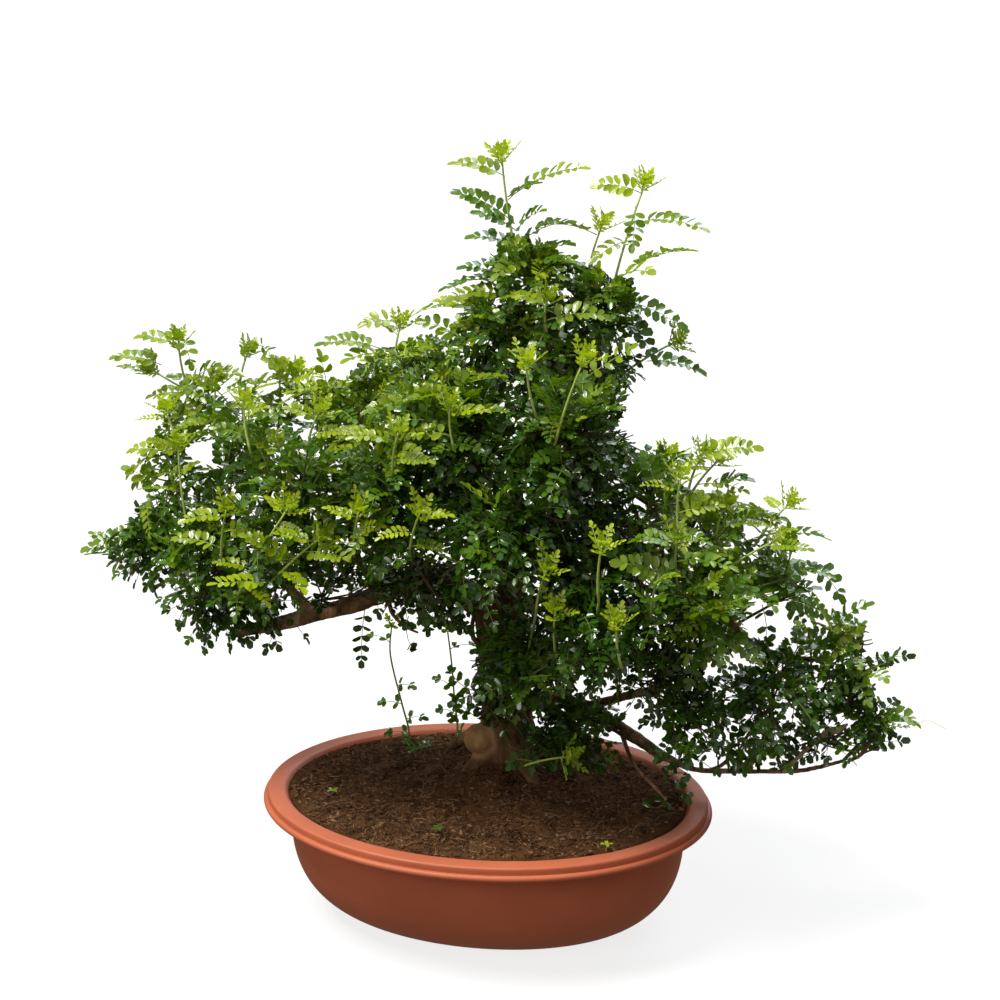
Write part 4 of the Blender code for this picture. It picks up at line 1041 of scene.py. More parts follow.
class Foliage:
    """Collects leaves and stems, then makes them one mesh."""

    def __init__(self, stream):
        self.draw = draws(stream)
        self.leaflets = ([], [])
        self.tubes = []

    def stem(self, route, first_radius, last_radius, age, sides=5):
        radii = np.linspace(first_radius, last_radius, len(route))
        self.tubes.append((*tube_mesh(route, radii, sides), age))

    def leaf(self, root, way, face, length, pairs, size, droop, age, free=False):
        """A leaf that grows a way from its root and droops; one outside the outline is cut short."""
        way = unit(way)
        sway = self.draw.normal(0, 0.05, 3)
        for share in PRUNING:
            bend = root + way * 0.5 * share * length
            tip = root + (way * 0.88 + DOWN * droop + sway) * share * length
            if free or in_outline(tip):
                self.pinnate(root, bend, tip, face, max(2, int(round(pairs * share))), size, age)
                return

    def pinnate(self, root, bend, tip, face, pairs, size, age, turn=LEAFLET_TURN):
        """An odd-pinnate leaf: a thin rib with pairs of leaflets and one at its end."""
        draw = self.draw
        self.stem(bezier(root, bend, tip, 5), *RIB_RADII, age * 0.8, 3)
        t = np.linspace(0.20, 0.93, pairs)[:, None]
        places = on_bend(root, bend, tip, t)
        along = along_bend(root, bend, tip, t)
        across = unit(np.cross(face, along))
        above = np.cross(along, across)
        swell = size * (0.74 + 0.26 * np.sin(np.pi * (t + 0.12)))
        lean = np.radians(74 - 22 * t)
        for side in (1.0, -1.0):
            fold = 0.05 + 0.30 * draw.random((pairs, 1))
            out = unit(along * np.cos(lean) + across * side * np.sin(lean) + above * fold)
            turned = unit(above + draw.normal(0, turn, (pairs, 3)))
            self.keep(places, out, turned, swell * (0.9 + 0.2 * draw.random((pairs, 1))), age)
        end = unit(tip - bend)[None, :]
        top = unit(np.cross(end, across[-1:]) + draw.normal(0, 0.12, (1, 3)))
        self.keep(tip[None, :], end, top, np.array([[size * 0.95]]), age)

    def keep(self, places, out, above, lengths, age):
        """Leaflets of given lengths that point out from their places, each cupped on its own."""
        draw = self.draw
        across = unit(np.cross(above, out))
        above = np.cross(out, across)
        share = YOUNG_WIDTH_SHARE + (OLD_WIDTH_SHARE - YOUNG_WIDTH_SHARE) * age
        width = share * lengths * (0.92 + 0.2 * draw.random(lengths.shape))
        cup = lengths * (0.35 + 1.1 * draw.random(lengths.shape))
        kind = 0 if age < NEW_AGE else 1
        u, v, w = (LEAFLET_SHAPES[kind][0][:, axis][None, :, None] for axis in range(3))
        points = (
            places[:, None, :] + u * (out * lengths)[:, None, :]
            + v * (across * width)[:, None, :] + w * (above * cup)[:, None, :]
        )
        ages = np.clip(age + draw.normal(0, 0.05, len(places)), 0.0, 1.0)
        self.leaflets[kind].append((points, ages))

    def twig(self, start, tip, bow, age, radius, first=0.20, shoot=False, tuft=0, free=False, lean=LEVEL):
        """A twig with leaves set spirally along it, and a tuft of small new leaves at its tip.

        A shoot is a longer-jointed twig in two ranks, whose leaves stand out flat and arch over.
        The leaves start at the first share of the way. They face up, and lean the given way.
        """
        draw = self.draw
        bend = 0.5 * (start + tip) + bow
        route = bezier(start, bend, tip, 6)
        length = float(np.linalg.norm(np.diff(route, axis=0), axis=1).sum())
        self.stem(route, radius, 0.65 * radius, min(1.0, age * 1.15))
        angle = draw.uniform(0, 2 * math.pi)
        rank = 1 if draw.random() < 0.5 else -1
        count = max(2, int((1 - first) * length / (SHOOT_SPACING if shoot else TWIG_SPACING)))
        count = count if first < 1.0 else 0
        for index in range(count):
            t = first + (1 - first) * (index + 0.5) / count
            place = on_bend(start, bend, tip, t)
            along = along_bend(start, bend, tip, t)
            angle += GOLDEN_ANGLE + draw.normal(0, 0.25)
            rank = -rank
            across = unit(np.cross(along, (0.3, 0.2, 1.0)))
            other = np.cross(along, across)
            radial = across * math.cos(angle) + other * math.sin(angle)
            if shoot:
                flat = np.array((rank, draw.normal(0, 0.45), 0.0))
                way = unit(flat + along * (0.25 + 0.40 * t) + draw.normal(0, 0.08, 3))
                droop = draw.uniform(0.10, 0.30)
                share = np.interp(age, YOUNG_AGES, (0.66, 1.28)) * (1 - 0.30 * t * t)
                share *= draw.uniform(0.85, 1.1)
                pairs = max(3, int(round(7.0 * draw.uniform(0.80, 1.1))))
                grown = np.interp(age, YOUNG_AGES, (0.62, 1.12))
            else:
                way = unit(along * (0.35 + 0.75 * t) + radial * 0.95 + UP * 0.20)
                droop = draw.uniform(0.02, 0.24)
                share = (0.98 - 0.30 * age - 0.20 * t * t) * draw.uniform(0.72, 1.1)
                pairs = max(2, int(round((8.0 - 2.2 * age) * share * draw.uniform(0.75, 1.1))))
                grown = 1.0
            face = unit(UP + lean + 0.30 * along + draw.normal(0, 0.34 if shoot else 0.24, 3))
            if abs(face.dot(way)) > 0.9:
                face = unit(np.cross(way, across))
            older = 0.22 * (0.6 - t) if shoot else -0.10 * t
            leaf_age = np.clip(age + draw.normal(0, 0.09) + older, 0.0, 1.0)
            size = LEAFLET_LENGTH * (0.70 + 0.28 * share) * grown * draw.uniform(0.86, 1.1)
            if place[1] > CANOPY_BACK:
                size *= BACK_SWELL
            self.leaf(place, way, face, LEAF_LENGTH * share, pairs, size, droop, leaf_age, free)
        self.tuft(tip, unit(tip - bend), tuft, max(0.0, age - 0.08), free)

    def tuft(self, tip, ahead, count, age, free):
        """Small new leaves that open round a tip, each a little larger than the one before."""
        across = unit(np.cross(ahead, (0.3, 0.9, 0.2)))
        other = np.cross(ahead, across)
        for index in range(count):
            turn = index * GOLDEN_ANGLE
            radial = across * math.cos(turn) + other * math.sin(turn)
            way = unit(ahead + radial * (0.55 + 0.15 * index))
            root = tip - ahead * TUFT_STEP * index
            length = TUFT_LEAF + TUFT_GROWTH * index
            face = unit(-radial + 0.4 * ahead)
            self.leaf(root, way, face, length, 4 if free else 3, TUFT_LEAFLET, -0.05, age, free)

    def piece(self, name, materials):
        points, faces, slots, ages, ribs, unders, rims = [], [], [], [], [], [], []
        count = 0
        for (shape, triangles, rib, rim), sets in zip(LEAFLET_SHAPES, self.leaflets):
            if not sets:
                continue
            places = np.concatenate([leaflet for leaflet, _ in sets])
            total = len(places)
            points.append(places.reshape(-1, 3))
            offsets = count + len(shape) * np.arange(total)[:, None, None]
            faces.append((triangles[None] + offsets).reshape(-1, 3))
            slots.append(np.zeros(len(triangles) * total, int))
            ages.append(np.repeat(np.concatenate([age for _, age in sets]), len(shape)))
            ribs.append(np.tile(rib, total))
            rims.append(np.tile(rim, total))
            unders.append(np.tile(np.arange(len(triangles)) >= len(triangles) / 2, total).astype(float))
            count += len(shape) * total
        for tube_points, tube_faces, age in self.tubes:
            points.append(tube_points)
            faces.append(tube_faces + count)
            slots.append(np.ones(len(tube_faces), int))
            ages.append(np.full(len(tube_points), age))
            ribs.append(np.zeros(len(tube_points)))
            rims.append(np.zeros(len(tube_points), bool))
            unders.append(np.zeros(len(tube_faces)))
            count += len(tube_points)
        made = put_arrays(name, points, faces, materials, ages)
        mesh = made.data
        add_attribute(mesh, "rib", ribs)
        add_attribute(mesh, "under", unders, "FACE")
        mesh.polygons.foreach_set("material_index", np.concatenate(slots))
        rim = np.concatenate(rims)
        ends = np.zeros(2 * len(mesh.edges), int)
        mesh.edges.foreach_get("vertices", ends)
        ends = ends.reshape(-1, 2)
        mesh.edges.foreach_set("use_edge_sharp", rim[ends[:, 0]] & rim[ends[:, 1]])
        return made


def in_outline(place):
    """Whether a place, seen from the camera, lies in the outline that the canopy is pruned to."""
    scale = (OUTLINE_DEPTH - CAMERA_PLACE[1]) / (place[1] - CAMERA_PLACE[1])
    x = CAMERA_PLACE[0] + (place[0] - CAMERA_PLACE[0]) * scale
    z = CAMERA_PLACE[2] + (place[2] - CAMERA_PLACE[2]) * scale
    if any(math.hypot(x - gap_x, z - gap_z) < radius for gap_x, gap_z, radius in CANOPY_GAPS):
        return False
    crossed = (OUTLINE_SIDES[1] > z) != (OUTLINE_SIDES[3] > z)
    xs, zs, next_xs, next_zs = (side[crossed] for side in OUTLINE_SIDES)
    crossings = xs + (z - zs) / (next_zs - zs) * (next_xs - xs)
    return np.count_nonzero(crossings > x) % 2 == 1


def soil_height(x, y):
    foot = np.hypot(x - TRUNK_FOOT[0], y - TRUNK_FOOT[1]) / FOOT_MOUND_REACH
    end = np.hypot(x - END_MOUND_PLACE[0], y - END_MOUND_PLACE[1]) / END_MOUND_REACH
    bumps = np.sin(61 * x + 1.3) * np.cos(83 * y + 0.4) + np.sin(137 * x - 113 * y)
    return (
        SOIL_EDGE_HEIGHT + FOOT_MOUND * np.exp(-foot * foot) + END_MOUND * np.exp(-end * end)
        + SOIL_BUMP * bumps
    )


def rough_soil_height(x, y):
    clods = noise.fractal(Vector((x * 45, y * 45, 3.0)), 0.8, 2.2, 4)
    pits = noise.noise(Vector((x * 160, y * 160, 7.0)))
    return float(soil_height(x, y)) + CLOD_HEIGHT * clods + PIT_HEIGHT * pits


def body_inset(step):
    """The body inset at a step from 0, the neck, to 1, the base; the corner is round."""
    drop = (1 - step ** CORNER_POWER) ** (1 / CORNER_ROUND)
    return BASE_INSET + (NECK_INSET - BASE_INSET) * drop


def body_profile(extra, floor, count=34):
    """Inset and height points from the neck down to the base, or down the inner wall."""
    steps = [math.sin(0.5 * math.pi * index / count) ** 0.8 for index in range(count + 1)]
    return [(body_inset(step) + extra, floor + (NECK_HEIGHT - floor) * (1 - step)) for step in steps]


def arc(inset, height, radius, first, last, count=5):
    """Points on a rounded edge of the rim's profile, angles in degrees from straight out."""
    points = []
    for index in range(count + 1):
        angle = math.radians(first + (last - first) * index / count)
        points.append((inset - radius * math.cos(angle), height + radius * math.sin(angle)))
    return points


def put_oval(name, profile, sides, height=None):
    """A closed body from an (inset, height, share) profile; a height of None follows the given rule."""
    bm = bmesh.new()
    rings = []
    for inset, z, share in profile:
        ring = []
        for side in range(sides):
            angle = 2 * math.pi * side / sides
            x = share * (RIM_HALF_LENGTH - inset) * math.cos(angle)
            y = share * (RIM_HALF_WIDTH - inset) * math.sin(angle)
            ring.append(bm.verts.new((x, y, height(x, y) if z is None else z)))
        rings.append(ring)
    for low, high in zip(rings, rings[1:]):
        for side in range(sides):
            after = (side + 1) % sides
            bm.faces.new((low[side], low[after], high[after], high[side]))
    bm.faces.new(rings[0][::-1])
    bm.faces.new(rings[-1])
    bmesh.ops.recalc_face_normals(bm, faces=bm.faces)
    return object_of(bm, name)


def rim_profile():
    """The neck, the rolled bead, the step over it and the flange, as (inset, height)."""
    bead = BEAD_ROUND - BEAD_OUT
    rim = [(NECK_INSET - 0.0010, NECK_HEIGHT + 0.0002), (0.0012, BEAD_LOW - 0.0004)]
    rim += arc(bead, BEAD_LOW + BEAD_ROUND, BEAD_ROUND, -70, 0)
    rim += arc(bead, BEAD_TOP - BEAD_ROUND, BEAD_ROUND, 0, 75)
    rim += [(FLANGE_INSET, BEAD_TOP), (FLANGE_INSET, BEAD_TOP + 0.0022)]
    rim += arc(FLANGE_INSET + FLANGE_ROUND, POT_HEIGHT - FLANGE_ROUND, FLANGE_ROUND, 10, 90)
    rim += [(0.45 * FLANGE_WIDTH, POT_HEIGHT - 0.0003), (FLANGE_WIDTH - 0.0022, POT_HEIGHT - 0.0002)]
    rim += [(FLANGE_WIDTH - 0.0008, POT_HEIGHT - 0.0007), (FLANGE_WIDTH + 0.0010, POT_HEIGHT - 0.0022)]
    return rim


def make_pot(material):
    outer = body_profile(0.0, 0.0)[::-1]
    inner = body_profile(POT_WALL, POT_WALL)
    profile = [(inset, z, 1.0) for inset, z in outer + rim_profile() + inner]
    pot = put_oval("pot_body", profile, POT_SIDES)
    for x, y in DRAIN_PLACES:
        bm = bmesh.new()
        bmesh.ops.create_cone(
            bm, cap_ends=True, segments=40, depth=4 * POT_WALL, radius1=DRAIN_RADIUS,
            radius2=DRAIN_RADIUS,
        )
        bmesh.ops.translate(bm, verts=bm.verts, vec=(x, y, 0.5 * POT_WALL))
        cutter = object_of(bm, "drain")
        cut = pot.modifiers.new("cut", "BOOLEAN")
        cut.operation = "DIFFERENCE"
        cut.object = cutter
        apply_modifiers(pot)
        bpy.data.objects.remove(cutter, do_unlink=True)
    pot.data.materials.clear()
    pot.data.materials.append(material)
    pot.data.shade_smooth()
    pot.data.set_sharp_from_angle(angle=math.radians(40))
    return pot


def make_soil(material):
    profile = [(inset + GAP, z + GAP, 1.0) for inset, z in body_profile(POT_WALL, POT_WALL, 12)[::-1]]
    top_inset = profile[-1][0]
    profile.append((SOIL_EDGE_INSET, SOIL_EDGE_HEIGHT - 0.0006, 1.0))
    profile += [(top_inset, None, 1 - (index + 0.4) / SOIL_RINGS) for index in range(SOIL_RINGS)]
    soil = put_oval("soil_bed", profile, SOIL_SIDES, rough_soil_height)
    soil.data.materials.append(material)
    soil.data.shade_smooth()
    return soil


def soil_places(count, draw, spare):
    """Even random places on the soil, clear of the trunk's foot and of the pot's wall."""
    half_length = RIM_HALF_LENGTH - SOIL_EDGE_INSET - spare
    half_width = RIM_HALF_WIDTH - SOIL_EDGE_INSET - spare
    places = []
    while len(places) < count:
        share = math.sqrt(draw.random())
        angle = draw.uniform(0, 2 * math.pi)
        x, y = share * half_length * math.cos(angle), share * half_width * math.sin(angle)
        if math.hypot(x - TRUNK_FOOT[0], y - TRUNK_FOOT[1]) > FOOT_CLEAR:
            places.append((x, y))
    return places


def put_small(name, parts, material):
    """One object of many small closed meshes, each (points, faces, age)."""
    points, faces, ages, count = [], [], [], 0
    for part_points, part_faces, age in parts:
        points.append(part_points)
        faces.append(part_faces + count)
        ages.append(np.full(len(part_points), age))
        count += len(part_points)
    return put_arrays(name, points, faces, [material], ages)


def make_crumbs(material):
    """Small broken chips of bark and coir, each a stretched octahedron on the soil."""
    draw = draws(CRUMB_DRAWS)
    corners = np.array(((1, 0, 0), (-1, 0, 0), (0, 1, 0), (0, -1, 0), (0, 0, 1), (0, 0, -1)), float)
    upper = ((0, 2, 4), (2, 1, 4), (1, 3, 4), (3, 0, 4))
    faces = np.array(upper + tuple((b, a, 5) for a, b, _ in upper))
    parts = []
    for x, y in soil_places(CRUMBS, draw, CRUMB_EDGE):
        size = CRUMB_LEAST + CRUMB_SPREAD * draw.random() ** 2
        shape = corners * draw.uniform(0.75, 1.2, (6, 1))
        shape *= (draw.uniform(1.0, 2.4), 0.85, draw.uniform(0.45, 0.9))
        turn = draw.uniform(0, 2 * math.pi)
        turned = np.stack([
            shape[:, 0] * math.cos(turn) - shape[:, 1] * math.sin(turn),
            shape[:, 0] * math.sin(turn) + shape[:, 1] * math.cos(turn),
            shape[:, 2] + shape[:, 0] * draw.normal(0, 0.25),
        ], axis=1)
        middle = np.array((x, y, rough_soil_height(x, y) + 0.25 * size))
        parts.append((middle + turned * size, faces, 0.10 + 0.75 * draw.random() ** 1.6))
    crumbs = put_small("soil_crumbs", parts, material)
    crumbs.data.shade_flat()
    return crumbs


def make_fibres(material):
    """Coir fibres that lie on the soil, each a thin tube through three places."""
    draw = draws(FIBRE_DRAWS)
    parts = []
    for x, y in soil_places(FIBRES, draw, FIBRE_EDGE):
        length = FIBRE_LEAST_LENGTH + FIBRE_LENGTH_SPREAD * draw.random() ** 1.5
        angle = draw.uniform(0, 2 * math.pi)
        curl = draw.normal(0, 0.35)
        radius = FIBRE_LEAST_RADIUS + FIBRE_RADIUS_SPREAD * draw.random() ** 2
        lift = FIBRE_LEAST_LIFT + FIBRE_LIFT_SPREAD * draw.random() ** 2
        route = []
        for arch in (0.35, 1.0, 0.25):
            reach_x = x / (RIM_HALF_LENGTH - SOIL_EDGE_INSET - FIBRE_END_EDGE)
            reach_y = y / (RIM_HALF_WIDTH - SOIL_EDGE_INSET - FIBRE_END_EDGE)
            if math.hypot(reach_x, reach_y) > 1.0:
                break
            route.append((x, y, rough_soil_height(x, y) + radius * 0.5 + lift * arch))
            x += length / 2 * math.cos(angle)
            y += length / 2 * math.sin(angle)
            angle += curl
        if len(route) > 2:
            tube = tube_mesh(route, np.full(len(route), radius), 3)
            parts.append((*tube, draw.random() ** 1.2))
    return put_small("soil_fibres", parts, material)


def curve_tube(name, route, resolution):
    curve = bpy.data.curves.new(name, "CURVE")
    curve.dimensions = "3D"
    curve.bevel_depth = 1.0
    curve.bevel_resolution = resolution
    curve.use_fill_caps = True
    spline = curve.splines.new("POLY")
    spline.points.add(len(route) - 1)
    for point, (x, y, z, radius) in zip(spline.points, route):
        point.co = (x, y, z, 1.0)
        point.radius = radius
    return put(bpy.data.objects.new(name, curve))


def fused_wood(holders):
    """One skin round the trunk, the thicker limbs, the roots and the burl."""
    bm = bmesh.new()
    for holder in holders:
        part = mesh_of(holder)
        bm.from_mesh(part)
        bpy.data.meshes.remove(part)
        bpy.data.objects.remove(holder, do_unlink=True)
    burl = bmesh.ops.create_icosphere(bm, subdivisions=4, radius=BURL_RADIUS)
    bmesh.ops.translate(bm, verts=burl["verts"], vec=BURL_PLACE)
    wood = object_of(bm, "wood")
    remesh = wood.modifiers.new("remesh", "REMESH")
    remesh.mode = "VOXEL"
    remesh.voxel_size = BARK_VOXEL
    smooth = wood.modifiers.new("smooth", "SMOOTH")
    smooth.iterations = 3
    smooth.factor = 0.5
    apply_modifiers(wood)
    return wood


def bark_relief(x, y, z):
    """How far the bark stands out at a place: long furrows and small knobs."""
    furrows = noise.fractal(Vector((x * 120, y * 120, z * 34)), 0.9, 2.1, 4)
    knobs = noise.noise(Vector((x * 260, y * 260, z * 180)))
    swell = noise.noise(Vector((x * 30, y * 30, z * 16)))
    return furrows + 0.35 * knobs + 1.2 * swell


def add_bark_relief(wood):
    """Move the skin by the bark's relief, which is lower on thin limbs and on the burl."""
    mesh = wood.data
    count = len(mesh.vertices)
    places, normals = np.zeros(3 * count), np.zeros(3 * count)
    mesh.vertices.foreach_get("co", places)
    mesh.vertex_normals.foreach_get("vector", normals)
    places, normals = places.reshape(-1, 3), normals.reshape(-1, 3)
    axis = np.concatenate([smooth_route(points, 4) for points in (TRUNK, *LIMBS.values(), *ROOTS)])
    radii = np.empty(count)
    for start in range(0, count, POINTS_AT_ONCE):
        part = places[start:start + POINTS_AT_ONCE]
        gaps = np.linalg.norm(part[:, None] - axis[None, :, :3], axis=2) - axis[None, :, 3]
        radii[start:start + POINTS_AT_ONCE] = axis[np.argmin(gaps, axis=1), 3]
    depth = BARK_RELIEF * np.clip(radii / FULL_RELIEF_RADIUS, 0.22, 1.0)
    burl = np.linalg.norm(places - np.array(BURL_PLACE), axis=1)
    depth *= np.clip((burl - BURL_CALM) / BURL_CALM, 0.25, 1.0)
    relief = np.array([bark_relief(*place) for place in places])
    moved = places + normals * (depth * np.clip(relief, -1.6, 1.6))[:, None]
    mesh.vertices.foreach_set("co", moved.astype(np.float32).ravel())
    mesh.update()


def make_wood(materials):
    """The bark is material 0, cut or bare wood material 1."""
    holders = [curve_tube("trunk", smooth_route(TRUNK, 4), 6)]
    thin = []
    for name, points in LIMBS.items():
        route = smooth_route(points, 4)
        if points[0][3] >= LEAST_FUSED_RADIUS:
            holders.append(curve_tube(name, route, 5))
        else:
            thin.append(route)
    holders += [curve_tube("root", smooth_route(points, 4), 5) for points in ROOTS]
    wood = fused_wood(holders)
    add_bark_relief(wood)
    wood.modifiers.new("thinned", "DECIMATE").ratio = BARK_KEPT
    mesh = apply_modifiers(wood)
    mesh.materials.clear()
    for made in materials:
        mesh.materials.append(made)
    bm = bmesh.new()
    bm.from_mesh(mesh)
    thin += [smooth_route(points, 3) for points in SNAGS]
    first_pale = len(thin) - len(SNAGS) + BARKED_SNAGS
    for index, route in enumerate(thin):
        points, faces = tube_mesh(route[:, :3], route[:, 3], 8)
        verts = [bm.verts.new(point) for point in points]
        for face in faces:
            bm.faces.new([verts[corner] for corner in face]).material_index = int(index >= first_pale)
    bm.to_mesh(mesh)
    bm.free()
    before, end = (np.array(point[:3]) for point in LIMBS["left"][-2:])
    way = unit(end - before)
    for face in mesh.polygons:
        near = np.linalg.norm(np.array(face.center) - end) < LIMB_CUT_REACH
        if near and np.array(face.normal).dot(way) > 0.75:
            face.material_index = 1
    mesh.shade_smooth()
    wood.name = "bark_and_limbs"
    return wood


def fibonacci_ways(count, draw):
    """Evenly spread directions, turned at random."""
    index = np.arange(count) + 0.5
    z = 1 - 2 * index / count
    angle = index * GOLDEN_ANGLE + draw.uniform(0, 2 * math.pi)
    flat = np.sqrt(1 - z * z)
    even = np.stack([flat * np.cos(angle), flat * np.sin(angle), z], axis=1)
    return unit(even + draw.normal(0, 0.14, (count, 3)))


def grow(leaves, stem, middle, radius, twigs):
    """Twigs from the end of a spray's stem out to all sides of a round of growth."""
    draw = leaves.draw
    outward = unit(middle - CANOPY_MIDDLE)
    forward = FORWARD * (0.12 if middle[1] < CANOPY_BACK else -0.12)
    for way in fibonacci_ways(twigs, draw):
        way = unit(way + UP * UPRIGHT)
        start = on_bend(*stem, 0.45 + 0.55 * draw.random())
        for far in (draw.uniform(0.50, 0.95), 0.45, 0.20):
            tip = middle + way * radius * far
            if in_outline(tip):
                break
        tip[2] = max(tip[2], LOWEST_TWIG)
        start = middle if np.linalg.norm(tip - start) > LONGEST_TWIG else start
        light = 0.10 * way.dot(outward) + 0.05 * way[2]
        under = np.interp(tip[0], CANOPY_TOP_X, CANOPY_TOP_Z) - tip[2]
        age = np.clip(np.interp(under, AGE_UNDER, AGES) - light + draw.normal(0, 0.11), 0.04, 1.0)
        bow = UP * (0.10 if way[2] > 0 else -0.02) * radius + draw.normal(0, 0.08, 3) * radius
        new = age < NEW_AGE and way[2] > 0.2
        lean = way * 0.30 + forward if new else way * LEAF_LEAN
        leaves.twig(start, tip, bow, age, TWIG_RADIUS, shoot=new, tuft=3 if new else 0, lean=lean)


def add_shoot(leaves, middle, start, tip, age):
    """A leafy shoot that stands out of a spray, on a twig from the spray's middle."""
    leaves.twig(middle, start, leaves.draw.normal(0, 0.003, 3), 0.7, SHOOT_RADIUS, first=0.6)
    way = unit(tip - start)
    side = np.cross(way, (0.0, 1.0, 0.0)) * STEM_BOW
    new = age < NEW_AGE
    end = tip - way * (SHOOT_TUFT if new else 0.4 * LEAF_LENGTH)
    leaves.twig(
        start, end, side, age, LEADER_RADIUS, first=0.12, shoot=new, tuft=6 if new else 0, free=True,
        lean=0.55 * FORWARD,
    )


def add_leader(leaves, middle, start, tip, age):
    """A bare stem that ends in a bud of new leaves."""
    leaves.stem(straight(middle, start, 4), SHOOT_RADIUS, LEADER_RADIUS, 0.6)
    way = unit(tip - start)
    side = np.cross(way, (0.0, 1.0, 0.0)) * STEM_BOW
    leaves.twig(
        start, tip - way * SHOOT_TUFT, side, age, LEADER_RADIUS, first=1.0, shoot=True, tuft=7, free=True,
    )


def add_arch(leaves, root, tip, pairs, age):
    bend = 0.5 * (root + tip) + UP * (ARCH_RISE * np.linalg.norm(tip - root))
    face = unit(UP + 0.30 * FORWARD + leaves.draw.normal(0, 0.25, 3))
    leaves.pinnate(root, bend, tip, face, pairs, ARCH_LEAFLET, age)


def add_hanging(leaves, root, tip, pairs, age):
    bend = 0.5 * (root + tip) + leaves.draw.normal(0, 0.004, 3)
    face = unit(TOWARDS_FRONT + leaves.draw.normal(0, 0.35, 3))
    leaves.pinnate(root, bend, tip, face, pairs, HANGING_LEAFLET, age, HANGING_TURN)


def make_spray(name, number, wood_tree, materials):
    spray = SPRAYS[name]
    middle = np.array(spray.middle)
    leaves = Foliage(SPRAY_DRAWS + number)
    root = np.array(wood_tree.find_nearest(Vector(middle))[0])
    leaves.stem(straight(root, middle, 6), STEM_RADIUS, SHOOT_RADIUS, 0.95, 6)
    grow(leaves, (root, 0.5 * (root + middle), middle), middle, spray.radius, spray.twigs)
    for place, radius, twigs in spray.lobes:
        place = np.array(place)
        leaves.stem(straight(middle, place, 4), SHOOT_RADIUS, TWIG_RADIUS, 0.9)
        grow(leaves, (middle, 0.5 * (middle + place), place), place, radius, twigs)
    for start, tip, age in spray.shoots:
        add_shoot(leaves, middle, np.array(start), np.array(tip), age)
    for start, tip, age in spray.leaders:
        add_leader(leaves, middle, np.array(start), np.array(tip), age)
    for root, tip, pairs, age in spray.arches:
        add_arch(leaves, np.array(root), np.array(tip), pairs, age)
    for root, tip, pairs, age in spray.hanging:
        add_hanging(leaves, np.array(root), np.array(tip), pairs, age)
    if name == TENDRIL_SPRAY:
        leaves.stem(np.array(TENDRIL), *TENDRIL_RADII, 0.0, 4)
    return leaves.piece(name + "_leaves", materials)


def make_sucker(name, number, materials):
    leaves = Foliage(SUCKER_DRAWS + number)
    draw = leaves.draw
    route = smooth_route(SUCKERS[name], 5)
    leaves.stem(route, SUCKER_RADIUS, 0.0007, 0.45, 6)
    rank = 1 if draw.random() < 0.5 else -1
    for share in SUCKER_LEAVES:
        place = route[int(round(share * (len(route) - 1)))]
        rank = -rank
        way = np.array((rank, draw.normal(0, 0.5), draw.uniform(0.3, 0.8)))
        length = SUCKER_LEAF_LENGTH * draw.uniform(0.80, 1.15)
        face = unit(TOWARDS_FRONT + draw.normal(0, 0.4, 3) + UP * 0.4)
        age = 0.75 - 0.35 * share
        leaves.leaf(place, way, face, length, SUCKER_LEAF_PAIRS, SUCKER_LEAFLET, 0.25, age, free=True)
    for turn in range(3):
        way = np.array((math.cos(2.1 * turn + 0.4), math.sin(2.1 * turn + 0.4), 1.6))
        leaves.leaf(route[-1], way, TOWARDS_FRONT, 0.012, 2, SEEDLING_LEAFLET, 0.0, 0.22, free=True)
    return leaves.piece(name + "_leaves", materials)


def make_seedlings(materials):
    leaves = Foliage(SEEDLING_DRAWS)
    for x, y, height, age in SEEDLINGS:
        low = np.array((x, y, float(soil_height(x, y)) - 0.001))
        top = low + np.array((0.001, -0.001, height))
        leaves.stem(np.array((low, 0.5 * (low + top), top)), 0.0005, 0.0004, age, 4)
        for turn in range(SEEDLING_LEAVES):
            angle = 2 * math.pi * turn / SEEDLING_LEAVES + x * 40
            out = unit((math.cos(angle), math.sin(angle), 0.25))[None, :]
            leaves.keep(top[None, :], out, UP[None, :], np.array([[SEEDLING_LEAFLET]]), age)
    for turn in range(WEED_LEAVES):
        angle = turn * GOLDEN_ANGLE
        way = np.array((math.cos(angle), math.sin(angle), 0.90))
        root = np.array(WEED_PLACE)
        leaves.leaf(root, way, UP, WEED_LEAF_LENGTH, 4, SEEDLING_LEAFLET, 0.30, 0.72, free=True)
    return leaves.piece("seedlings", materials)


def aim(obj, place, target):
    obj.location = place
    obj.rotation_euler = (Vector(target) - Vector(place)).to_track_quat("-Z", "Y").to_euler()


def add_light(name, kind, place, target, power, colour):
    light = bpy.data.lights.new(name, kind)
    light.energy = power
    light.color = colour
    aim(put(bpy.data.objects.new(name, light)), place, target)
    return light


def make_camera():
    camera = bpy.data.cameras.new("camera")
    camera.lens = LENS
    camera.sensor_width = 36.0
    camera.clip_end = 60.0
    holder = put(bpy.data.objects.new("camera", camera))
    aim(holder, CAMERA_PLACE, CAMERA_AIM)
    bpy.context.scene.camera = holder


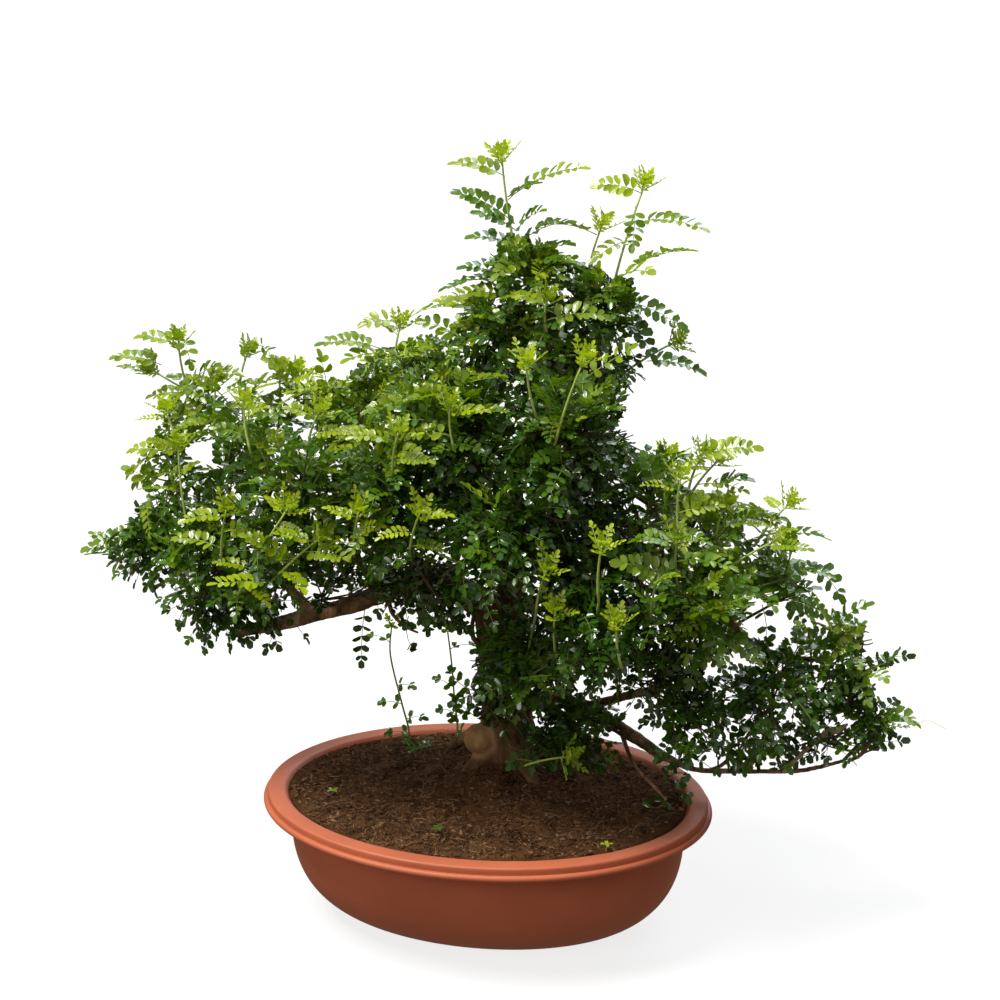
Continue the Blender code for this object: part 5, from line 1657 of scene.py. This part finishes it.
def make_world():
    """A soft gradient lights the plant, and the camera sees plain white behind it."""
    room = Nodes(bpy.data.worlds.new("studio"), "Background")
    shade = room.ramp(room.height("Generated"), (0.05, (0.44, 0.36, 0.29)), (0.80, (0.97, 0.99, 1.00)))
    room.feed(room.shader, {"Color": shade, "Strength": 0.54})
    paper = room.add("ShaderNodeBackground", {"Color": (1.0, 1.0, 1.0, 1.0)})
    seen = room.add("ShaderNodeLightPath").outputs["Is Camera Ray"]
    room.blend(seen, room.shader, paper)
    bpy.context.scene.world = room.owner


def make_floor():
    bm = bmesh.new()
    bmesh.ops.create_grid(bm, x_segments=8, y_segments=8, size=20.0)
    floor = object_of(bm, "floor")
    floor.data.materials.append(floor_material())
    floor.visible_diffuse = False
    floor.visible_glossy = False


def make_studio():
    make_camera()
    bpy.context.scene.view_settings.view_transform = "Standard"
    make_world()
    key = add_light("key", "SUN", (-0.55, -0.30, 1.50), (0.0, 0.0, 0.0), 4.6, (1.0, 0.98, 0.92))
    key.angle = math.radians(25)
    sky = add_light("sky_glow", "SUN", (0.25, 1.00, 0.85), (0.0, 0.0, 0.0), 1.6, (0.84, 0.93, 1.0))
    sky.angle = math.radians(38)
    fill = add_light("fill", "AREA", (-1.0, -1.8, 1.1), (0.0, 0.0, 0.2), 11.0, (1.0, 0.97, 0.93))
    fill.shape = "DISK"
    fill.size = 1.0
    make_floor()


def settle(piece, slot, *nodes):
    """Put a piece on the root body, in place of any CAD nodes it replaces. The slot is not used."""
    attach(piece, "root")
    if nodes:
        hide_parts(*nodes)


def main():
    make_studio()
    settle(make_pot(clay_material()), "terracotta_plastic", "pot")
    settle(make_soil(soil_material()), "potting_soil", "soil")
    fibre = fibre_material()
    settle(make_crumbs(fibre), "potting_soil")
    settle(make_fibres(fibre), "potting_soil")
    settle(make_wood([bark_material(), cut_wood_material()]), "bark", "trunk_and_limbs")
    green = [leaf_material(), stem_material()]
    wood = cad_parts["trunk_and_limbs"].data
    places = [vertex.co.copy() for vertex in wood.vertices]
    tree = BVHTree.FromPolygons(places, [tuple(face.vertices) for face in wood.polygons])
    for number, name in enumerate(SPRAYS):
        settle(make_spray(name, number, tree, green), "foliage", name)
    for number, name in enumerate(SUCKERS):
        settle(make_sucker(name, number, green), "foliage", name)
    settle(make_seedlings(green), "foliage")


main()
